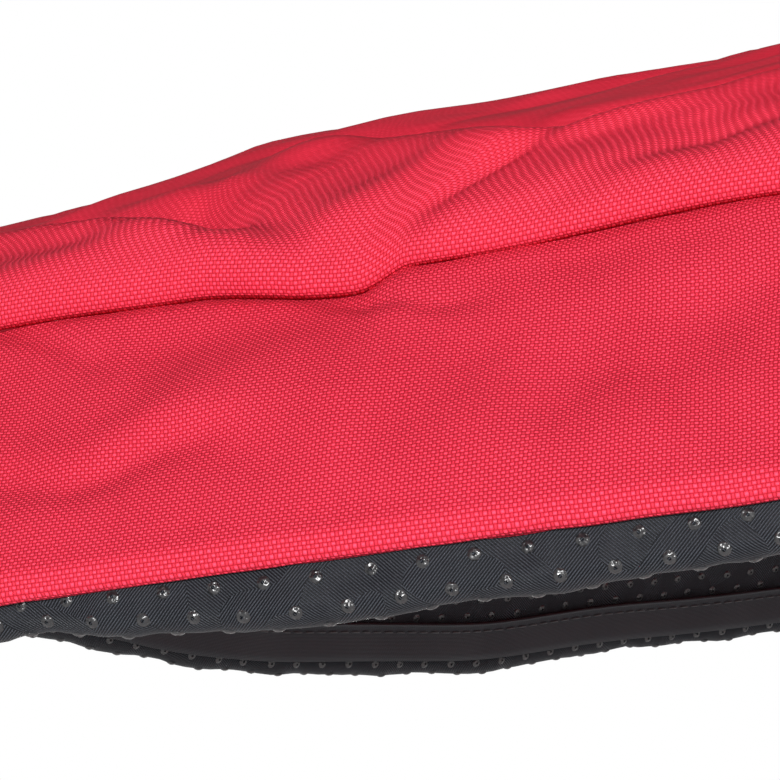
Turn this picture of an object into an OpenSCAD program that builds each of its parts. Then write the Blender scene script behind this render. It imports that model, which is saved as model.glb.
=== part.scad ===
/* [Hem outline] */
// Hem centre to bow tip
bow_reach = 560; // [470:5:680]
// Hem centre to stern tip
stern_reach = 340; // [285:5:410]
// Hem centre to the side
half_width = 280; // [235:5:340]
// How much the bow half narrows towards its tip
bow_taper = 0.25; // [0:0.05:0.3]

/* [Cloth section] */
// Thickness of the coated deck cloth with its seam allowance
cloth = 2; // [1.5:0.1:2.6]
// Thickness of the dotted grip cloth
grip_cloth = 1.6; // [1.2:0.1:2]
// Clearance between neighbouring pieces
gap = 0.3; // [0.25:0.05:0.4]
// Height of the red lip above the hem plane
lip_z = 10; // [8:0.5:12]
// Height of the seam between side band and deck
seam_z = 63; // [52:1:76]
// How far the side band leans in from lip to seam
band_in = 44; // [36:1:53]
// Height where the deck meets the waist tunnel
deck_top_z = 119; // [100:1:143]

/* [Waist tunnel] */
// Tunnel half length, bow to stern
tunnel_x = 125; // [104:1:150]
// Tunnel half width
tunnel_y = 160; // [133:1:192]
// Height of the tunnel above the deck seam
tunnel_h = 241; // [225:1:289]
// Height of the rolled top edge
casing_h = 28; // [24:1:34]

/* [Cords and locks] */
// Diameter of both shock cords
cord_d = 5; // [4:0.5:6]
// Distance between the two cord ends in a lock
cord_pitch = 7; // [6.6:0.2:8]
// Cord tail past its mouth
tail_l = 84; // [70:1:100]
// Cord lock size along the cords
lock_x = 14; // [12:1:18]
// Cord lock size across the cords
lock_y = 21; // [18:1:26]
// Cord lock height without its button
lock_z = 21; // [18:1:26]
// Travel of the lock button
press = 3; // [2.5:0.25:4]

/* [Webbing and buckles] */
// Webbing width
web_w = 25; // [20:1:30]
// Webbing thickness
web_t = 1.8; // [1.4:0.1:2.2]
// Side-release buckle thickness
buckle_t = 9; // [8:0.5:11]
// Length of the buckle socket
socket_l = 33; // [28:1:40]
// Position of the front straps round the tunnel, from the bow
strap_turn = 40; // [34:1:48]
// Grab tube radius
tube_r = 10; // [8:0.5:12]
// Grab loop reach from its fold to the tube centre
loop_l = 84; // [70:1:100]

/* [Pocket] */
// Pocket width
pocket_w = 130; // [108:1:156]
// Pocket height
pocket_h = 105; // [90:1:126]
// Pocket depth in front of the tunnel
pocket_d = 12; // [10:0.5:14.5]

/* [Hidden] */
$fn = 48;
red = [0.85, 0.16, 0.22];
black = [0.09, 0.10, 0.11];

// Hem section, as [distance in from the outline, height]
roll_r = cord_d / 2 + 0.6 + grip_cloth / 2;
strip_in = cloth + gap + grip_cloth / 2;
roll_in = strip_in + roll_r;
roll_z = roll_r + grip_cloth / 2 + 0.1;
lean = (band_in - cloth / 2) / (seam_z - lip_z - 4);
facing_z = seam_z - 14;
facing_in = cloth / 2 + (facing_z - lip_z - 4) * lean + cloth + grip_cloth;
tape_in = strip_in + 2 * roll_r + grip_cloth + gap;
seam_gap = cloth + gap;
// Half of the gap between left and right pieces, in degrees round the outline
split = 0.06;
// Half of the mouth at the stern, in degrees round the outline
mouth = 4.2;
mouth_y = cord_pitch / 2;

// Points of the hem outline, counted round from the bow
function rim(t) = let(front = cos(t) > 0) [(front ? bow_reach : stern_reach) * cos(t),
    half_width * sin(t) * (1 - (front ? bow_taper * pow(cos(t), 2) : 0))];
function unit(v) = v / norm(v);
function outward(t) = let(d = unit(rim(t + 0.4) - rim(t - 0.4))) [d[1], -d[0]];
function hem_point(t, p) = let(q = rim(t) - p[0] * outward(t)) [q[0], q[1], p[1]];
function steps(a, b, n) = [for (i = [0:n]) a + (b - a) * i / n];
function ellipse(t, grow) = [(tunnel_x + grow) * cos(t), (tunnel_y + grow) * sin(t)];

// Closed outline of a sheet of width w that follows a path in its own plane
function along(p, i) = unit(p[min(i + 1, len(p) - 1)] - p[max(i - 1, 0)]);
function side_of(p, i) = let(d = along(p, i)) [-d[1], d[0]];
function sheet(p, w) = concat([for (i = [0:len(p) - 1]) p[i] + side_of(p, i) * w / 2],
    [for (i = [len(p) - 1:-1:0]) p[i] - side_of(p, i) * w / 2]);

// Solid through a row of loops; every loop has an even number of points
module loft(loops, ring = false) {
    n = len(loops);
    m = len(loops[0]);
    sides = [for (i = [0:n - (ring ? 1 : 2)], j = [0:m - 1])
        let(k = (i + 1) % n, l = (j + 1) % m) [i * m + j, i * m + l, k * m + l, k * m + j]];
    lids = ring ? [] : [for (j = [0:m / 2 - 2]) each
        [[j, m - 1 - j, m - 2 - j, j + 1],
         [(n - 1) * m + j, (n - 1) * m + j + 1, (n - 1) * m + m - 2 - j, (n - 1) * m + m - 1 - j]]];
    polyhedron([for (l = loops) each l], [for (f = concat(sides, lids)) each
        [[f[2], f[1], f[0]], [f[3], f[2], f[0]]]]);
}

// Carries a side direction along a path without twist
function carry(p, i, s) = i >= len(p) ? [] :
    let(d = unit(p[min(i + 1, len(p) - 1)] - p[max(i - 1, 0)]), v = unit(s - d * (d * s)))
    concat([[d, v]], carry(p, i + 1, v));
module tube(path, r, sides = 8, start = [0, 0, 1]) {
    frames = carry(path, 0, start);
    loft([for (i = [0:len(path) - 1]) let(u = frames[i][1], w = cross(frames[i][0], u))
        [for (j = [0:sides - 1]) path[i] + r * (cos(360 * j / sides) * u + sin(360 * j / sides) * w)]]);
}

// Deck: a puffed rise just inside the seam, then a slack slope up to the tunnel
function rise(s) = seam_z + (deck_top_z - seam_z) * sqrt(sin(90 * s));
module deck_panel(a, b, n = 32) {
    k = 11;
    loft([for (t = steps(a, b, n)) let(from = hem_point(t, [band_in + seam_gap, 0]),
        to = ellipse(t, gap + 0.2), run = [to[0] - from[0], to[1] - from[1]], l = norm(run),
        path = [for (i = [0:k]) let(s = pow(i / k, 2)) [l * s, rise(s)]])
        [for (q = sheet(path, cloth)) [from[0] + run[0] / l * q[0], from[1] + run[1] / l * q[0], q[1]]]]);
}
module deck_front_panel() {
    color(red)
        deck_panel(-90 + split, 90 - split);
}
module deck_rear_panel() {
    color(red)
        deck_panel(90 + split, 270 - split, 26);
}

// Strip of cloth round one side of the hem, from bow to stern
module hem_sheet(path, w, a, b, n = 44) {
    loft([for (t = steps(a, b, n)) [for (q = sheet(path, w)) hem_point(t, q)]]);
}
band_path = [[cloth / 2, lip_z], [cloth / 2, lip_z + 4], [band_in / 2, (seam_z + lip_z + 4) / 2 + 1],
    [band_in, seam_z]];
module side_band() {
    color(red)
        hem_sheet(band_path, cloth, split, 180 - split);
}
strip_path = concat([[strip_in, lip_z + 3]],
    [for (a = [180:30:360]) [roll_in + roll_r * cos(a), roll_z + roll_r * sin(a)]],
    [[roll_in + roll_r + 2, lip_z + 2], [facing_in, facing_z]]);
module grip_strip() {
    color(black)
        hem_sheet(strip_path, grip_cloth, split, 180 - mouth);
}
tape_path = [[tape_in + 0.2, roll_z - 0.5], [tape_in + 2.3, lip_z + 2], [tape_in + 3.8, lip_z + 4]];
module hem_binding() {
    color(black)
        loft([for (t = steps(mouth - 180, 180 - mouth, 96))
            [for (q = sheet(tape_path, grip_cloth)) hem_point(t, q)]]);
}
module side_band_left() {
    side_band();
}
module side_band_right() {
    mirror([0, 1, 0])
        side_band();
}
module grip_strip_left() {
    grip_strip();
}
module grip_strip_right() {
    mirror([0, 1, 0])
        grip_strip();
}

// Both ends of the hem cord leave the roll at the stern and run straight aft
stern_x = -stern_reach;
eyelet_l = 4.2;
hem_exit = hem_point(180 - mouth, [roll_in, roll_z]);
exit_out = outward(180 - mouth);
exit_dir = [-exit_out[1], exit_out[0], 0];
hem_turn = hem_exit + eyelet_l * exit_dir;
hem_bend_r = hem_turn[1] - mouth_y;
hem_bend = [for (a = [0:18:90]) hem_turn - hem_bend_r * [1 - cos(a), sin(a), 0]];
hem_tail = [[stern_x - 16, mouth_y, roll_z], [stern_x - tail_l, mouth_y, roll_z]];
function other_side(p) = [for (q = p) [q[0], -q[1], q[2]]];
function backwards(p) = [for (i = [len(p) - 1:-1:0]) p[i]];
hem_half = concat([for (t = steps(1, 180 - mouth, 34)) hem_point(t, [roll_in, roll_z])], hem_bend, hem_tail);
hem_route = concat(backwards(hem_half), [hem_point(0, [roll_in, roll_z])], other_side(hem_half));
module hem_shock_cord() {
    color(black)
        tube(hem_route, cord_d / 2);
}
module eyelet(r) {
    rotate_extrude()
        polygon([[r, -1.6], [r + 1.8, -1.6], [r + 1.8, -0.8], [r + 0.8, 0], [r + 1.8, 0.8], [r + 1.8, 1.6],
            [r, 1.6]]);
}
// Eyelets round the cord at the two open ends of the roll
module hem_grommets() {
    color("silver")
        for (s = [0, 1])
            mirror([0, s, 0])
                translate(hem_exit + eyelet_l / 2 * exit_dir)
                    rotate([90, 0, atan2(exit_dir[0], -exit_dir[1])])
                        eyelet(cord_d / 2 + gap);
}
// Moulded end over each cord tail, on its own axis along +X
module cord_tip() {
    difference() {
        union() {
            rotate([0, 90, 0])
                cylinder(h = 11, r1 = cord_d / 2 + 0.8, r2 = cord_d / 2 + 0.5);
            translate([11, 0, 0])
                sphere(r = cord_d / 2 + 0.5);
        }
        translate([-1, 0, 0])
            rotate([0, 90, 0])
                cylinder(h = 9, r = cord_d / 2 + 0.1);
    }
}
module hem_cord_tips() {
    color(black)
        for (s = [-1, 1])
            translate([stern_x - tail_l + 7.7, s * mouth_y, roll_z])
                rotate([0, 0, 180])
                    cord_tip();
}

// Cord lock in its own frame: cords along X, button up, centre on the cords
bore_r = 5;
plunger_r = bore_r - gap;
slot_w = cord_pitch + cord_d + 2 * gap;
lock_floor = 1.6;
plunger_low = -cord_d / 2 - gap / 2 - 1.5;
lock_low = plunger_low - press - 0.8 - lock_floor;
lock_top = lock_low + lock_z;
module slot_through(l, low, high) {
    translate([-l, -slot_w / 2, low])
        cube([2 * l, slot_w, high - low]);
}
module lock_body() {
    difference() {
        intersection() {
            translate([-lock_x / 2, -lock_y / 2, lock_low])
                cube([lock_x, lock_y, lock_top - lock_low]);
            translate([0, 0, lock_low - 1])
                cylinder(h = lock_z + 2, r = lock_y / 2 + 0.6);
        }
        translate([-bore_r, -bore_r - 3, lock_low + lock_floor])
            cube([2 * bore_r, 2 * bore_r + 6, lock_z]);
        slot_through(lock_x, -cord_d / 2 - gap, cord_d / 2 + gap);
    }
}
module lock_button() {
    difference() {
        union() {
            translate([-plunger_r, -plunger_r - 3, plunger_low])
                cube([2 * plunger_r, 2 * plunger_r + 6, lock_top + press - plunger_low]);
            translate([0, 0, lock_top + press])
                cylinder(h = 4, r = plunger_r + 3);
        }
        slot_through(lock_x, -cord_d / 2 - gap / 2, cord_d / 2 + gap + press);
    }
}
module lock_spring() {
    turns = 3;
    wire_r = 0.4;
    low = lock_low + lock_floor + wire_r + 0.05;
    high = plunger_low - wire_r - 0.05;
    tube([for (a = [0:30:360 * turns]) [3 * cos(a), 3 * sin(a), low + (high - low) * a / (360 * turns)]],
        wire_r, 6);
}
hem_lock_at = [stern_x - 26, 0, roll_z];
module hem_lock_place() {
    translate(hem_lock_at)
        rotate([0, 0, 180])
            children();
}
module hem_lock_body() {
    color(black)
        hem_lock_place()
            lock_body();
}
module hem_lock_button() {
    color(black)
        hem_lock_place()
            lock_button();
}
module hem_lock_spring() {
    color("silver")
        hem_lock_place()
            lock_spring();
}

// Waist tunnel: upright cloth wall, rolled over its cord at the top
tunnel_low = deck_top_z - 8;
casing_low = deck_top_z + tunnel_h - casing_h;
tunnel_top = deck_top_z + tunnel_h;
casing_t = cord_d + 2 * grip_cloth;
cord_run_z = tunnel_top - casing_h / 2;
module oval(grow) {
    polygon([for (t = [0:4:356]) ellipse(t, grow)]);
}
module oval_wall(low, high, outer, inner) {
    translate([0, 0, low])
        linear_extrude(high - low)
            difference() {
                oval(outer);
                oval(inner);
            }
}
module tunnel_half(s) {
    difference() {
        oval_wall(tunnel_low, casing_low - gap, 0, -cloth);
        translate([s > 0 ? -tunnel_x - 1 : -gap / 2, -tunnel_y - 1, tunnel_low - 1])
            cube([tunnel_x + 1 + gap / 2, 2 * tunnel_y + 2, tunnel_h + 2]);
    }
}
module tunnel_front_panel() {
    color(red)
        tunnel_half(1);
}
module tunnel_rear_panel() {
    color(red)
        tunnel_half(-1);
}
module tunnel_base_binding() {
    color(black)
        oval_wall(deck_top_z + cloth, deck_top_z + cloth + 12, gap + 1.6, gap);
}
casing_out = 1.5;
module tunnel_top_casing() {
    color(red)
        difference() {
            oval_wall(casing_low, tunnel_top, casing_out, casing_out - casing_t);
            oval_wall(cord_run_z - cord_d / 2 - 0.4, cord_run_z + cord_d / 2 + 0.4,
                casing_out - grip_cloth + 0.2, casing_out - casing_t + grip_cloth - 0.2);
            translate([tunnel_x - casing_t - 4, -mouth_y - cord_d, cord_run_z - cord_d / 2 - 0.4])
                cube([2 * casing_t + 8, 2 * mouth_y + 2 * cord_d, cord_d + 0.8]);
        }
}
cord_in = casing_out - casing_t / 2;
turn_r = casing_t / 2;
bend_r = 1.8 * cord_d;
rim_l = 2.6;
waist_x = tunnel_x + casing_out + rim_l + bend_r;
waist_turn = asin((mouth_y + turn_r) / (tunnel_y + cord_in));
waist_from = ellipse(waist_turn, cord_in);
waist_bend = [for (a = [22.5:22.5:90])
    [waist_from[0] + turn_r * (1 - cos(a)), waist_from[1] - turn_r * sin(a)]];
waist_drop = [for (a = [0:22.5:90]) [waist_x - bend_r + bend_r * sin(a), cord_run_z - bend_r + bend_r * cos(a)]];
waist_end_z = cord_run_z - tail_l;
waist_front = concat([for (q = waist_bend) [q[0], q[1], cord_run_z]],
    [for (q = waist_drop) [q[0], mouth_y, q[1]]], [[waist_x, mouth_y, waist_end_z]]);
waist_route = concat(backwards(waist_front),
    [for (t = steps(waist_turn, 360 - waist_turn, 60)) let(q = ellipse(t, cord_in)) [q[0], q[1], cord_run_z]],
    other_side(waist_front));
module waist_shock_cord() {
    color(black)
        tube(waist_route, cord_d / 2, 8, [1, 0, 0]);
}
module waist_grommets() {
    color("silver")
        for (s = [-1, 1])
            translate([tunnel_x + casing_out + 1.9, s * mouth_y, cord_run_z])
                rotate([0, 90, 0])
                    rotate_extrude()
                        polygon([[cord_d / 2 + 0.25, -1.6], [cord_pitch / 2 - 0.2, -1.6],
                            [cord_pitch / 2 - 0.2, 0.6], [cord_d / 2 + 0.25, 0.6]]);
}
module waist_cord_tips() {
    color(black)
        for (s = [-1, 1])
            translate([waist_x, s * mouth_y, waist_end_z + 7.7])
                rotate([0, 90, 0])
                    cord_tip();
}
module waist_lock_place() {
    translate([waist_x, 0, cord_run_z - bend_r - 4 - lock_x / 2])
        rotate([0, 90, 0])
            children();
}
module waist_lock_body() {
    color(black)
        waist_lock_place()
            lock_body();
}
module waist_lock_button() {
    color(black)
        waist_lock_place()
            lock_button();
}
module waist_lock_spring() {
    color("silver")
        waist_lock_place()
            lock_spring();
}

// Straps hang in slack loops beside the tunnel
fold_bore = 2.1;
strap_out = casing_out + gap + web_t + fold_bore + 0.1;
tab_low = casing_low - 14;
plug_low = tab_low - socket_l - 22;
loop_z = deck_top_z + 31;
loop_drop = 60;
strap_path = concat([[strap_turn, plug_low + 7], [strap_turn, loop_z + loop_drop + 12]],
    [for (a = [0:7.5:180]) [90 - (90 - strap_turn) * cos(a), loop_z + loop_drop * (1 - sin(a))]],
    [[180 - strap_turn, loop_z + loop_drop + 30], [180 - strap_turn, casing_low - 6],
     [180 - strap_turn, tunnel_top - 10]]);
function on_wall(p, out) = let(q = ellipse(p[0], out)) [q[0], q[1], p[1]];
function wall_out(t) = let(q = unit([(tunnel_y + strap_out) * cos(t), (tunnel_x + strap_out) * sin(t)]))
    [q[0], q[1], 0];
module strap() {
    points = [for (p = strap_path) on_wall(p, strap_out)];
    loft([for (i = [0:len(points) - 1])
        let(d = unit(points[min(i + 1, len(points) - 1)] - points[max(i - 1, 0)]),
            n = wall_out(strap_path[i][0]), w = unit(cross(n, d)))
        [points[i] + w * web_w / 2 - n * web_t / 2, points[i] + w * web_w / 2 + n * web_t / 2,
         points[i] - w * web_w / 2 + n * web_t / 2, points[i] - w * web_w / 2 - n * web_t / 2]]);
}
module strap_left() {
    color(black)
        strap();
}
module strap_right() {
    color(black)
        mirror([0, 1, 0])
            strap();
}
// Places a piece on the tunnel wall: X across the strap, Y out of the wall, Z up
front_at = on_wall([strap_turn, 0], strap_out);
front_n = wall_out(strap_turn);
rear_at = on_wall([180 - strap_turn, 0], strap_out);
module at_front(s, z) {
    mirror([0, s < 0 ? 1 : 0, 0])
        translate([front_at[0], front_at[1], z])
            rotate([0, 0, atan2(front_n[1], front_n[0]) - 90])
                children();
}
module at_rear(s, z) {
    mirror([0, s < 0 ? 1 : 0, 0])
        translate([rear_at[0], rear_at[1], z])
            rotate([0, 0, 90 - atan2(front_n[1], front_n[0])])
                children();
}
module slab(w, low, high, near, far) {
    translate([-w / 2, near, low])
        cube([w, far - near, high - low]);
}
// Folded tab round the socket bar
bar_z = tab_low + 4;
module strap_tab(s) {
    color(black)
        at_front(s, 0)
            difference() {
                union() {
                    slab(web_w, bar_z, casing_low + 22, -web_t - fold_bore, web_t + fold_bore);
                    translate([-web_w / 2, 0, bar_z])
                        rotate([0, 90, 0])
                            cylinder(h = web_w, r = fold_bore + web_t);
                }
                slab(web_w + 2, bar_z, casing_low + 23, -fold_bore, fold_bore);
                translate([-web_w / 2 - 1, 0, bar_z])
                    rotate([0, 90, 0])
                        cylinder(h = web_w + 2, r = fold_bore);
            }
}
module strap_tab_left() {
    strap_tab(1);
}
module strap_tab_right() {
    strap_tab(-1);
}
module strap_patch(s) {
    color(black)
        at_rear(s, 0)
            difference() {
                slab(web_w + 14, casing_low + 1, tunnel_top - 2, -web_t - fold_bore, web_t / 2 + 2);
                slab(web_w + 2 * gap, casing_low - 1, tunnel_top - 8, -web_t / 2 - gap, web_t / 2 + gap);
                slab(web_w + 2, casing_low - 1, tunnel_top - 1, -5, -web_t / 2 - gap);
            }
}
module strap_patch_left() {
    strap_patch(1);
}
module strap_patch_right() {
    strap_patch(-1);
}
// Side-release buckle: hollow socket above, plug with two prongs below
socket_w = web_w + 10;
bar_half = 1.3;
socket_top = tab_low - 1;
socket_low = socket_top - socket_l + 8;
module buckle_socket(s) {
    color(black)
        at_front(s, 0)
            difference() {
                union() {
                    slab(socket_w, socket_low, socket_top - 4, -buckle_t / 2, buckle_t / 2);
                    slab(socket_w, socket_top - 5, tab_low + 7, -buckle_t / 2 + 1, buckle_t / 2 - 1);
                }
                slab(socket_w - 5, socket_low - 1, socket_top - 8, -buckle_t / 2 + 1.6, buckle_t / 2 - 1.6);
                slab(web_w + 1.4, socket_top - 4, bar_z - bar_half, -buckle_t, buckle_t);
                slab(web_w + 1.4, bar_z - 3, tab_low + 9, -buckle_t, -bar_half);
                slab(web_w + 1.4, bar_z - 3, tab_low + 9, bar_half, buckle_t);
                slab(web_w + 1.4, bar_z + bar_half, tab_low + 9, -buckle_t, buckle_t);
                for (x = [-1, 1])
                    translate([x * socket_w / 2, 0, socket_low + 11])
                        cube([6, buckle_t - 3.2, 10], center = true);
            }
}
module buckle_socket_left() {
    buckle_socket(1);
}
module buckle_socket_right() {
    buckle_socket(-1);
}
module buckle_plug(s) {
    t = buckle_t / 2 - 1.6 - gap;
    color(black)
        at_front(s, 0)
            difference() {
                union() {
                    slab(socket_w, plug_low, socket_low - gap, -buckle_t / 2 + 0.5, buckle_t / 2 - 0.5);
                    for (x = [-1, 1])
                        translate([x * (socket_w / 2 - 5.4), 0, 0])
                            slab(4, socket_low - 2, socket_low + 15, -t, t);
                    slab(3.4, socket_low - 2, socket_low + 12, -t, t);
                }
                slab(web_w + 2 * gap, plug_low + 4, plug_low + 8, -buckle_t, -web_t / 2 + 3.4);
                slab(web_w + 2 * gap, plug_low - 1, plug_low + 8, -web_t / 2 - gap, web_t / 2 + gap);
                slab(web_w + 2 * gap, plug_low + 11, plug_low + 15, -buckle_t, buckle_t);
            }
}
module buckle_plug_left() {
    buckle_plug(1);
}
module buckle_plug_right() {
    buckle_plug(-1);
}
// Length adjuster: frame with its centre bar in front of the webbing
slider_z = plug_low - 16;
module strap_slider(s) {
    color(black)
        at_front(s, slider_z)
            union() {
                difference() {
                    slab(web_w + 7, -11, 11, -web_t / 2 - gap - 1.8, web_t / 2 + gap + 2.4);
                    slab(web_w + 2 * gap, -12, 12, -web_t / 2 - gap, web_t / 2 + gap);
                    for (z = [-1, 1])
                        slab(web_w - 1, z * 5 - 3, z * 5 + 3, -4, web_t + 4);
                }
            }
}
module strap_slider_left() {
    strap_slider(1);
}
module strap_slider_right() {
    strap_slider(-1);
}

// Release loop at the bow: webbing folded round a rolled core, drooping from its anchor
droop = 35;
fold_r = 3.4;
fold_at = [bow_reach + 10.5, 0, lip_z + 8];
loop_r = tube_r + gap + web_t;
loop_root = web_t + 0.3;
module grab_anchor() {
    ring_r = fold_r + 0.1 + 2.2;
    color(black)
        translate(fold_at)
            difference() {
                union() {
                    rotate([90, 0, 0])
                        cylinder(h = web_w + 8, r = ring_r, center = true);
                    translate([-10.1, -web_w / 2 - 4, -ring_r])
                        cube([5.5, web_w + 8, 2 * ring_r]);
                }
                rotate([90, 0, 0])
                    cylinder(h = web_w + 0.8, r = fold_r + 0.1, center = true);
                rotate([90, 0, 0])
                    linear_extrude(web_w + 0.8, center = true)
                        polygon([[0, 0], [1, 12], [12, 12], [12, -12], [1, -12]]);
            }
}
// Outline of two circles joined by their outer tangents
module teardrop(root, r) {
    a = asin((r - root) / loop_l);
    circle(r = root);
    translate([loop_l, 0])
        circle(r = r);
    polygon([[-root * sin(a), root * cos(a)], [loop_l - r * sin(a), r * cos(a)],
        [loop_l - r * sin(a), -r * cos(a)], [-root * sin(a), -root * cos(a)]]);
}
module drooping() {
    translate(fold_at)
        rotate([0, droop, 0])
            rotate([90, 0, 0])
                children();
}
module grab_loop() {
    color(black)
        drooping()
            linear_extrude(web_w, center = true)
                union() {
                    circle(r = fold_r);
                    difference() {
                        teardrop(loop_root, loop_r);
                        difference() {
                            teardrop(loop_root - web_t, loop_r - web_t);
                            translate([-5, -5])
                                square([14, 10]);
                        }
                    }
                }
}
module grab_tube() {
    color(black)
        drooping()
            translate([loop_l, 0, 0])
                union() {
                    cylinder(h = web_w + 1.2, r = tube_r, center = true);
                    for (s = [-1, 1])
                        translate([0, 0, s * (web_w / 2 + 10.6)])
                            cylinder(h = 20, r = loop_r, center = true);
                }
}

// Pocket in front of the tunnel, with a level zip near its top
pocket_low = deck_top_z + 27;
pocket_x = tunnel_x + pocket_d;
mesh_t = 1.2;
zip_z = pocket_low + pocket_h - 16;
zip_half = pocket_w / 2 - 8;
module pocket_mesh() {
    color(black)
        difference() {
            translate([pocket_x, -pocket_w / 2, pocket_low])
                cube([mesh_t, pocket_w, pocket_h]);
            translate([pocket_x - 1, -zip_half, zip_z - 4])
                cube([mesh_t + 2, 2 * zip_half, 8]);
        }
}
module pocket_gusset() {
    color(red)
        difference() {
            translate([0, -pocket_w / 2, pocket_low])
                cube([pocket_x - 0.2, pocket_w, pocket_h]);
            translate([-1, -pocket_w / 2 + mesh_t, pocket_low + mesh_t])
                cube([pocket_x + 2, pocket_w - 2 * mesh_t, pocket_h - 2 * mesh_t]);
            translate([0, 0, pocket_low - 1])
                linear_extrude(pocket_h + 2)
                    oval(gap);
        }
}
module zip_tapes() {
    color(black)
        for (s = [-1, 1])
            translate([pocket_x + mesh_t + 0.2, -zip_half, zip_z + (s > 0 ? 2 : -8)])
                cube([0.8, 2 * zip_half, 6]);
}
module zip_coil() {
    color(black)
        for (s = [-1, 1])
            translate([pocket_x + mesh_t + 0.2, -zip_half + 3, zip_z + (s > 0 ? 0.15 : -1.85)])
                cube([1.4, 2 * zip_half - 6, 1.7]);
}
module zip_stops() {
    color("silver")
        for (s = [-1, 1])
            translate([pocket_x + mesh_t + 1 + gap, s * (zip_half - 1.3) - 1.2, zip_z - 2.6])
                cube([1.4, 2.4, 5.2]);
}
zip_face = pocket_x + mesh_t + 1.9;
slider_y = -zip_half + 10;
pull_bar_x = zip_face + 4.1;
module zip_slider() {
    color("silver")
        translate([zip_face, slider_y, zip_z])
            union() {
                translate([0, -5, -3.6])
                    cube([1.4, 10, 7.2]);
                for (y = [-1, 1])
                    translate([1.2, y * 4 - 0.8, -1])
                        cube([4, 1.6, 2]);
                translate([pull_bar_x - zip_face, -4, 0])
                    rotate([-90, 0, 0])
                        cylinder(h = 8, r = 1);
            }
}
module zip_pull() {
    color("silver")
        translate([pull_bar_x, slider_y, zip_z])
            difference() {
                union() {
                    rotate([90, 0, 0])
                        cylinder(h = 5, r = 2.2, center = true);
                    translate([-0.8, -2.5, -22])
                        cube([1.6, 5, 22]);
                }
                rotate([90, 0, 0])
                    cylinder(h = 6, r = 1.08, center = true);
                translate([-2, 0, -18])
                    rotate([0, 90, 0])
                        cylinder(h = 4, r = 1.3);
            }
}

deck_front_panel();
deck_rear_panel();
side_band_left();
side_band_right();
grip_strip_left();
grip_strip_right();
hem_binding();
hem_shock_cord();
hem_grommets();
hem_cord_tips();
hem_lock_body();
hem_lock_button();
hem_lock_spring();
tunnel_front_panel();
tunnel_rear_panel();
tunnel_base_binding();
tunnel_top_casing();
waist_shock_cord();
waist_grommets();
waist_cord_tips();
waist_lock_body();
waist_lock_button();
waist_lock_spring();
strap_left();
strap_right();
strap_tab_left();
strap_tab_right();
strap_patch_left();
strap_patch_right();
buckle_socket_left();
buckle_socket_right();
buckle_plug_left();
buckle_plug_right();
strap_slider_left();
strap_slider_right();
grab_anchor();
grab_loop();
grab_tube();
pocket_mesh();
pocket_gusset();
zip_tapes();
zip_coil();
zip_stops();
zip_slider();
zip_pull();
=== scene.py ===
import math
import bpy
import bmesh
import numpy as np
from mathutils import Matrix, Vector


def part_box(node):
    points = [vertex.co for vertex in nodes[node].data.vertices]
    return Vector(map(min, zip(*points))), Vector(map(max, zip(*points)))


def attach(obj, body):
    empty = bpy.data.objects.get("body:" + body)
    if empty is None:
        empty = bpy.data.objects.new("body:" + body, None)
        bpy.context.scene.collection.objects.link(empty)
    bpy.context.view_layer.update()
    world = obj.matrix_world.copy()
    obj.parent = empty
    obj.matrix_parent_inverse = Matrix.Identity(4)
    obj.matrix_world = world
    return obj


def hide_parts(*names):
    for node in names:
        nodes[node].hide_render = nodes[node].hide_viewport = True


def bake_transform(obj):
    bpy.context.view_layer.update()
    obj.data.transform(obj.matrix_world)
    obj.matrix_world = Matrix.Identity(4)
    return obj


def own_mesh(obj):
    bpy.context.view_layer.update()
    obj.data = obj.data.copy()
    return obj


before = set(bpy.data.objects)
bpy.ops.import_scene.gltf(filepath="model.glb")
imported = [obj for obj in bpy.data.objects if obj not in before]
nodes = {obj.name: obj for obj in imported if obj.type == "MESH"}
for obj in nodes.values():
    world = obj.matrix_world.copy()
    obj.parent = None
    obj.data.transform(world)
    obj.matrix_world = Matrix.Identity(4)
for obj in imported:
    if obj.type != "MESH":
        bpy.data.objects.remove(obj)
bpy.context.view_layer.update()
scene = bpy.context.scene
print("frame loaded:", len(nodes), "nodes")

# sizes that come with the frame, in metres
bandLow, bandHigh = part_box("side_band_left")
tunnelLow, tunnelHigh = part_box("tunnel_front_panel")
casingLow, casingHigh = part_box("tunnel_top_casing")
pocketLow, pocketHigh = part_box("pocket_mesh")
bowReach, sternReach, halfWidth = bandHigh.x, -bandLow.x, bandHigh.y
bowTaper = 0.25
lipZ, seamZ = bandLow.z, 0.063
bandIn = 0.044
deckTopZ = tunnelLow.z + 0.008
tunnelX, tunnelY = tunnelHigh.x, tunnelHigh.y
viewTurn = math.radians(42)   # turn round the hem where the close view looks


def rim(t):
    c, s = np.cos(t), np.sin(t)
    reach = np.where(c > 0, bowReach, sternReach)
    return np.stack([reach * c, halfWidth * s * (1 - bowTaper * np.maximum(0, c) ** 2)], -1)


def outward(t):
    d = rim(t + 0.007) - rim(t - 0.007)
    n = np.stack([d[..., 1], -d[..., 0]], -1)
    return n / np.linalg.norm(n, axis=-1, keepdims=True)


def hemPoint(t, inset, z):
    q = rim(t) - np.asarray(inset)[..., None] * outward(t)
    return np.concatenate([q, np.broadcast_to(z, q.shape[:-1])[..., None]], -1)


turnTable = np.radians(np.linspace(-200, 200, 8001))
hemSteps = np.linalg.norm(np.diff(rim(turnTable), axis=0), axis=1)
hemLength = np.concatenate([[0], np.cumsum(hemSteps)])
hemLength -= np.interp(0, turnTable, hemLength)


def alongHem(t):
    return np.interp(t, turnTable, hemLength)


def turnAt(s):
    return np.interp(s, hemLength, turnTable)


viewS = float(alongHem(viewTurn))


# stations along the hem, close together where the cloth is looked at from near by
def stations(fromS, toS, coarse, fine, reach=0.1):
    points, s = [fromS], fromS
    while s < toS:
        near = max(0.0, abs(s - viewS) - reach) / 0.12
        s += fine + (coarse - fine) * min(1.0, near)
        points.append(min(s, toS))
    return np.array(points)


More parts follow.
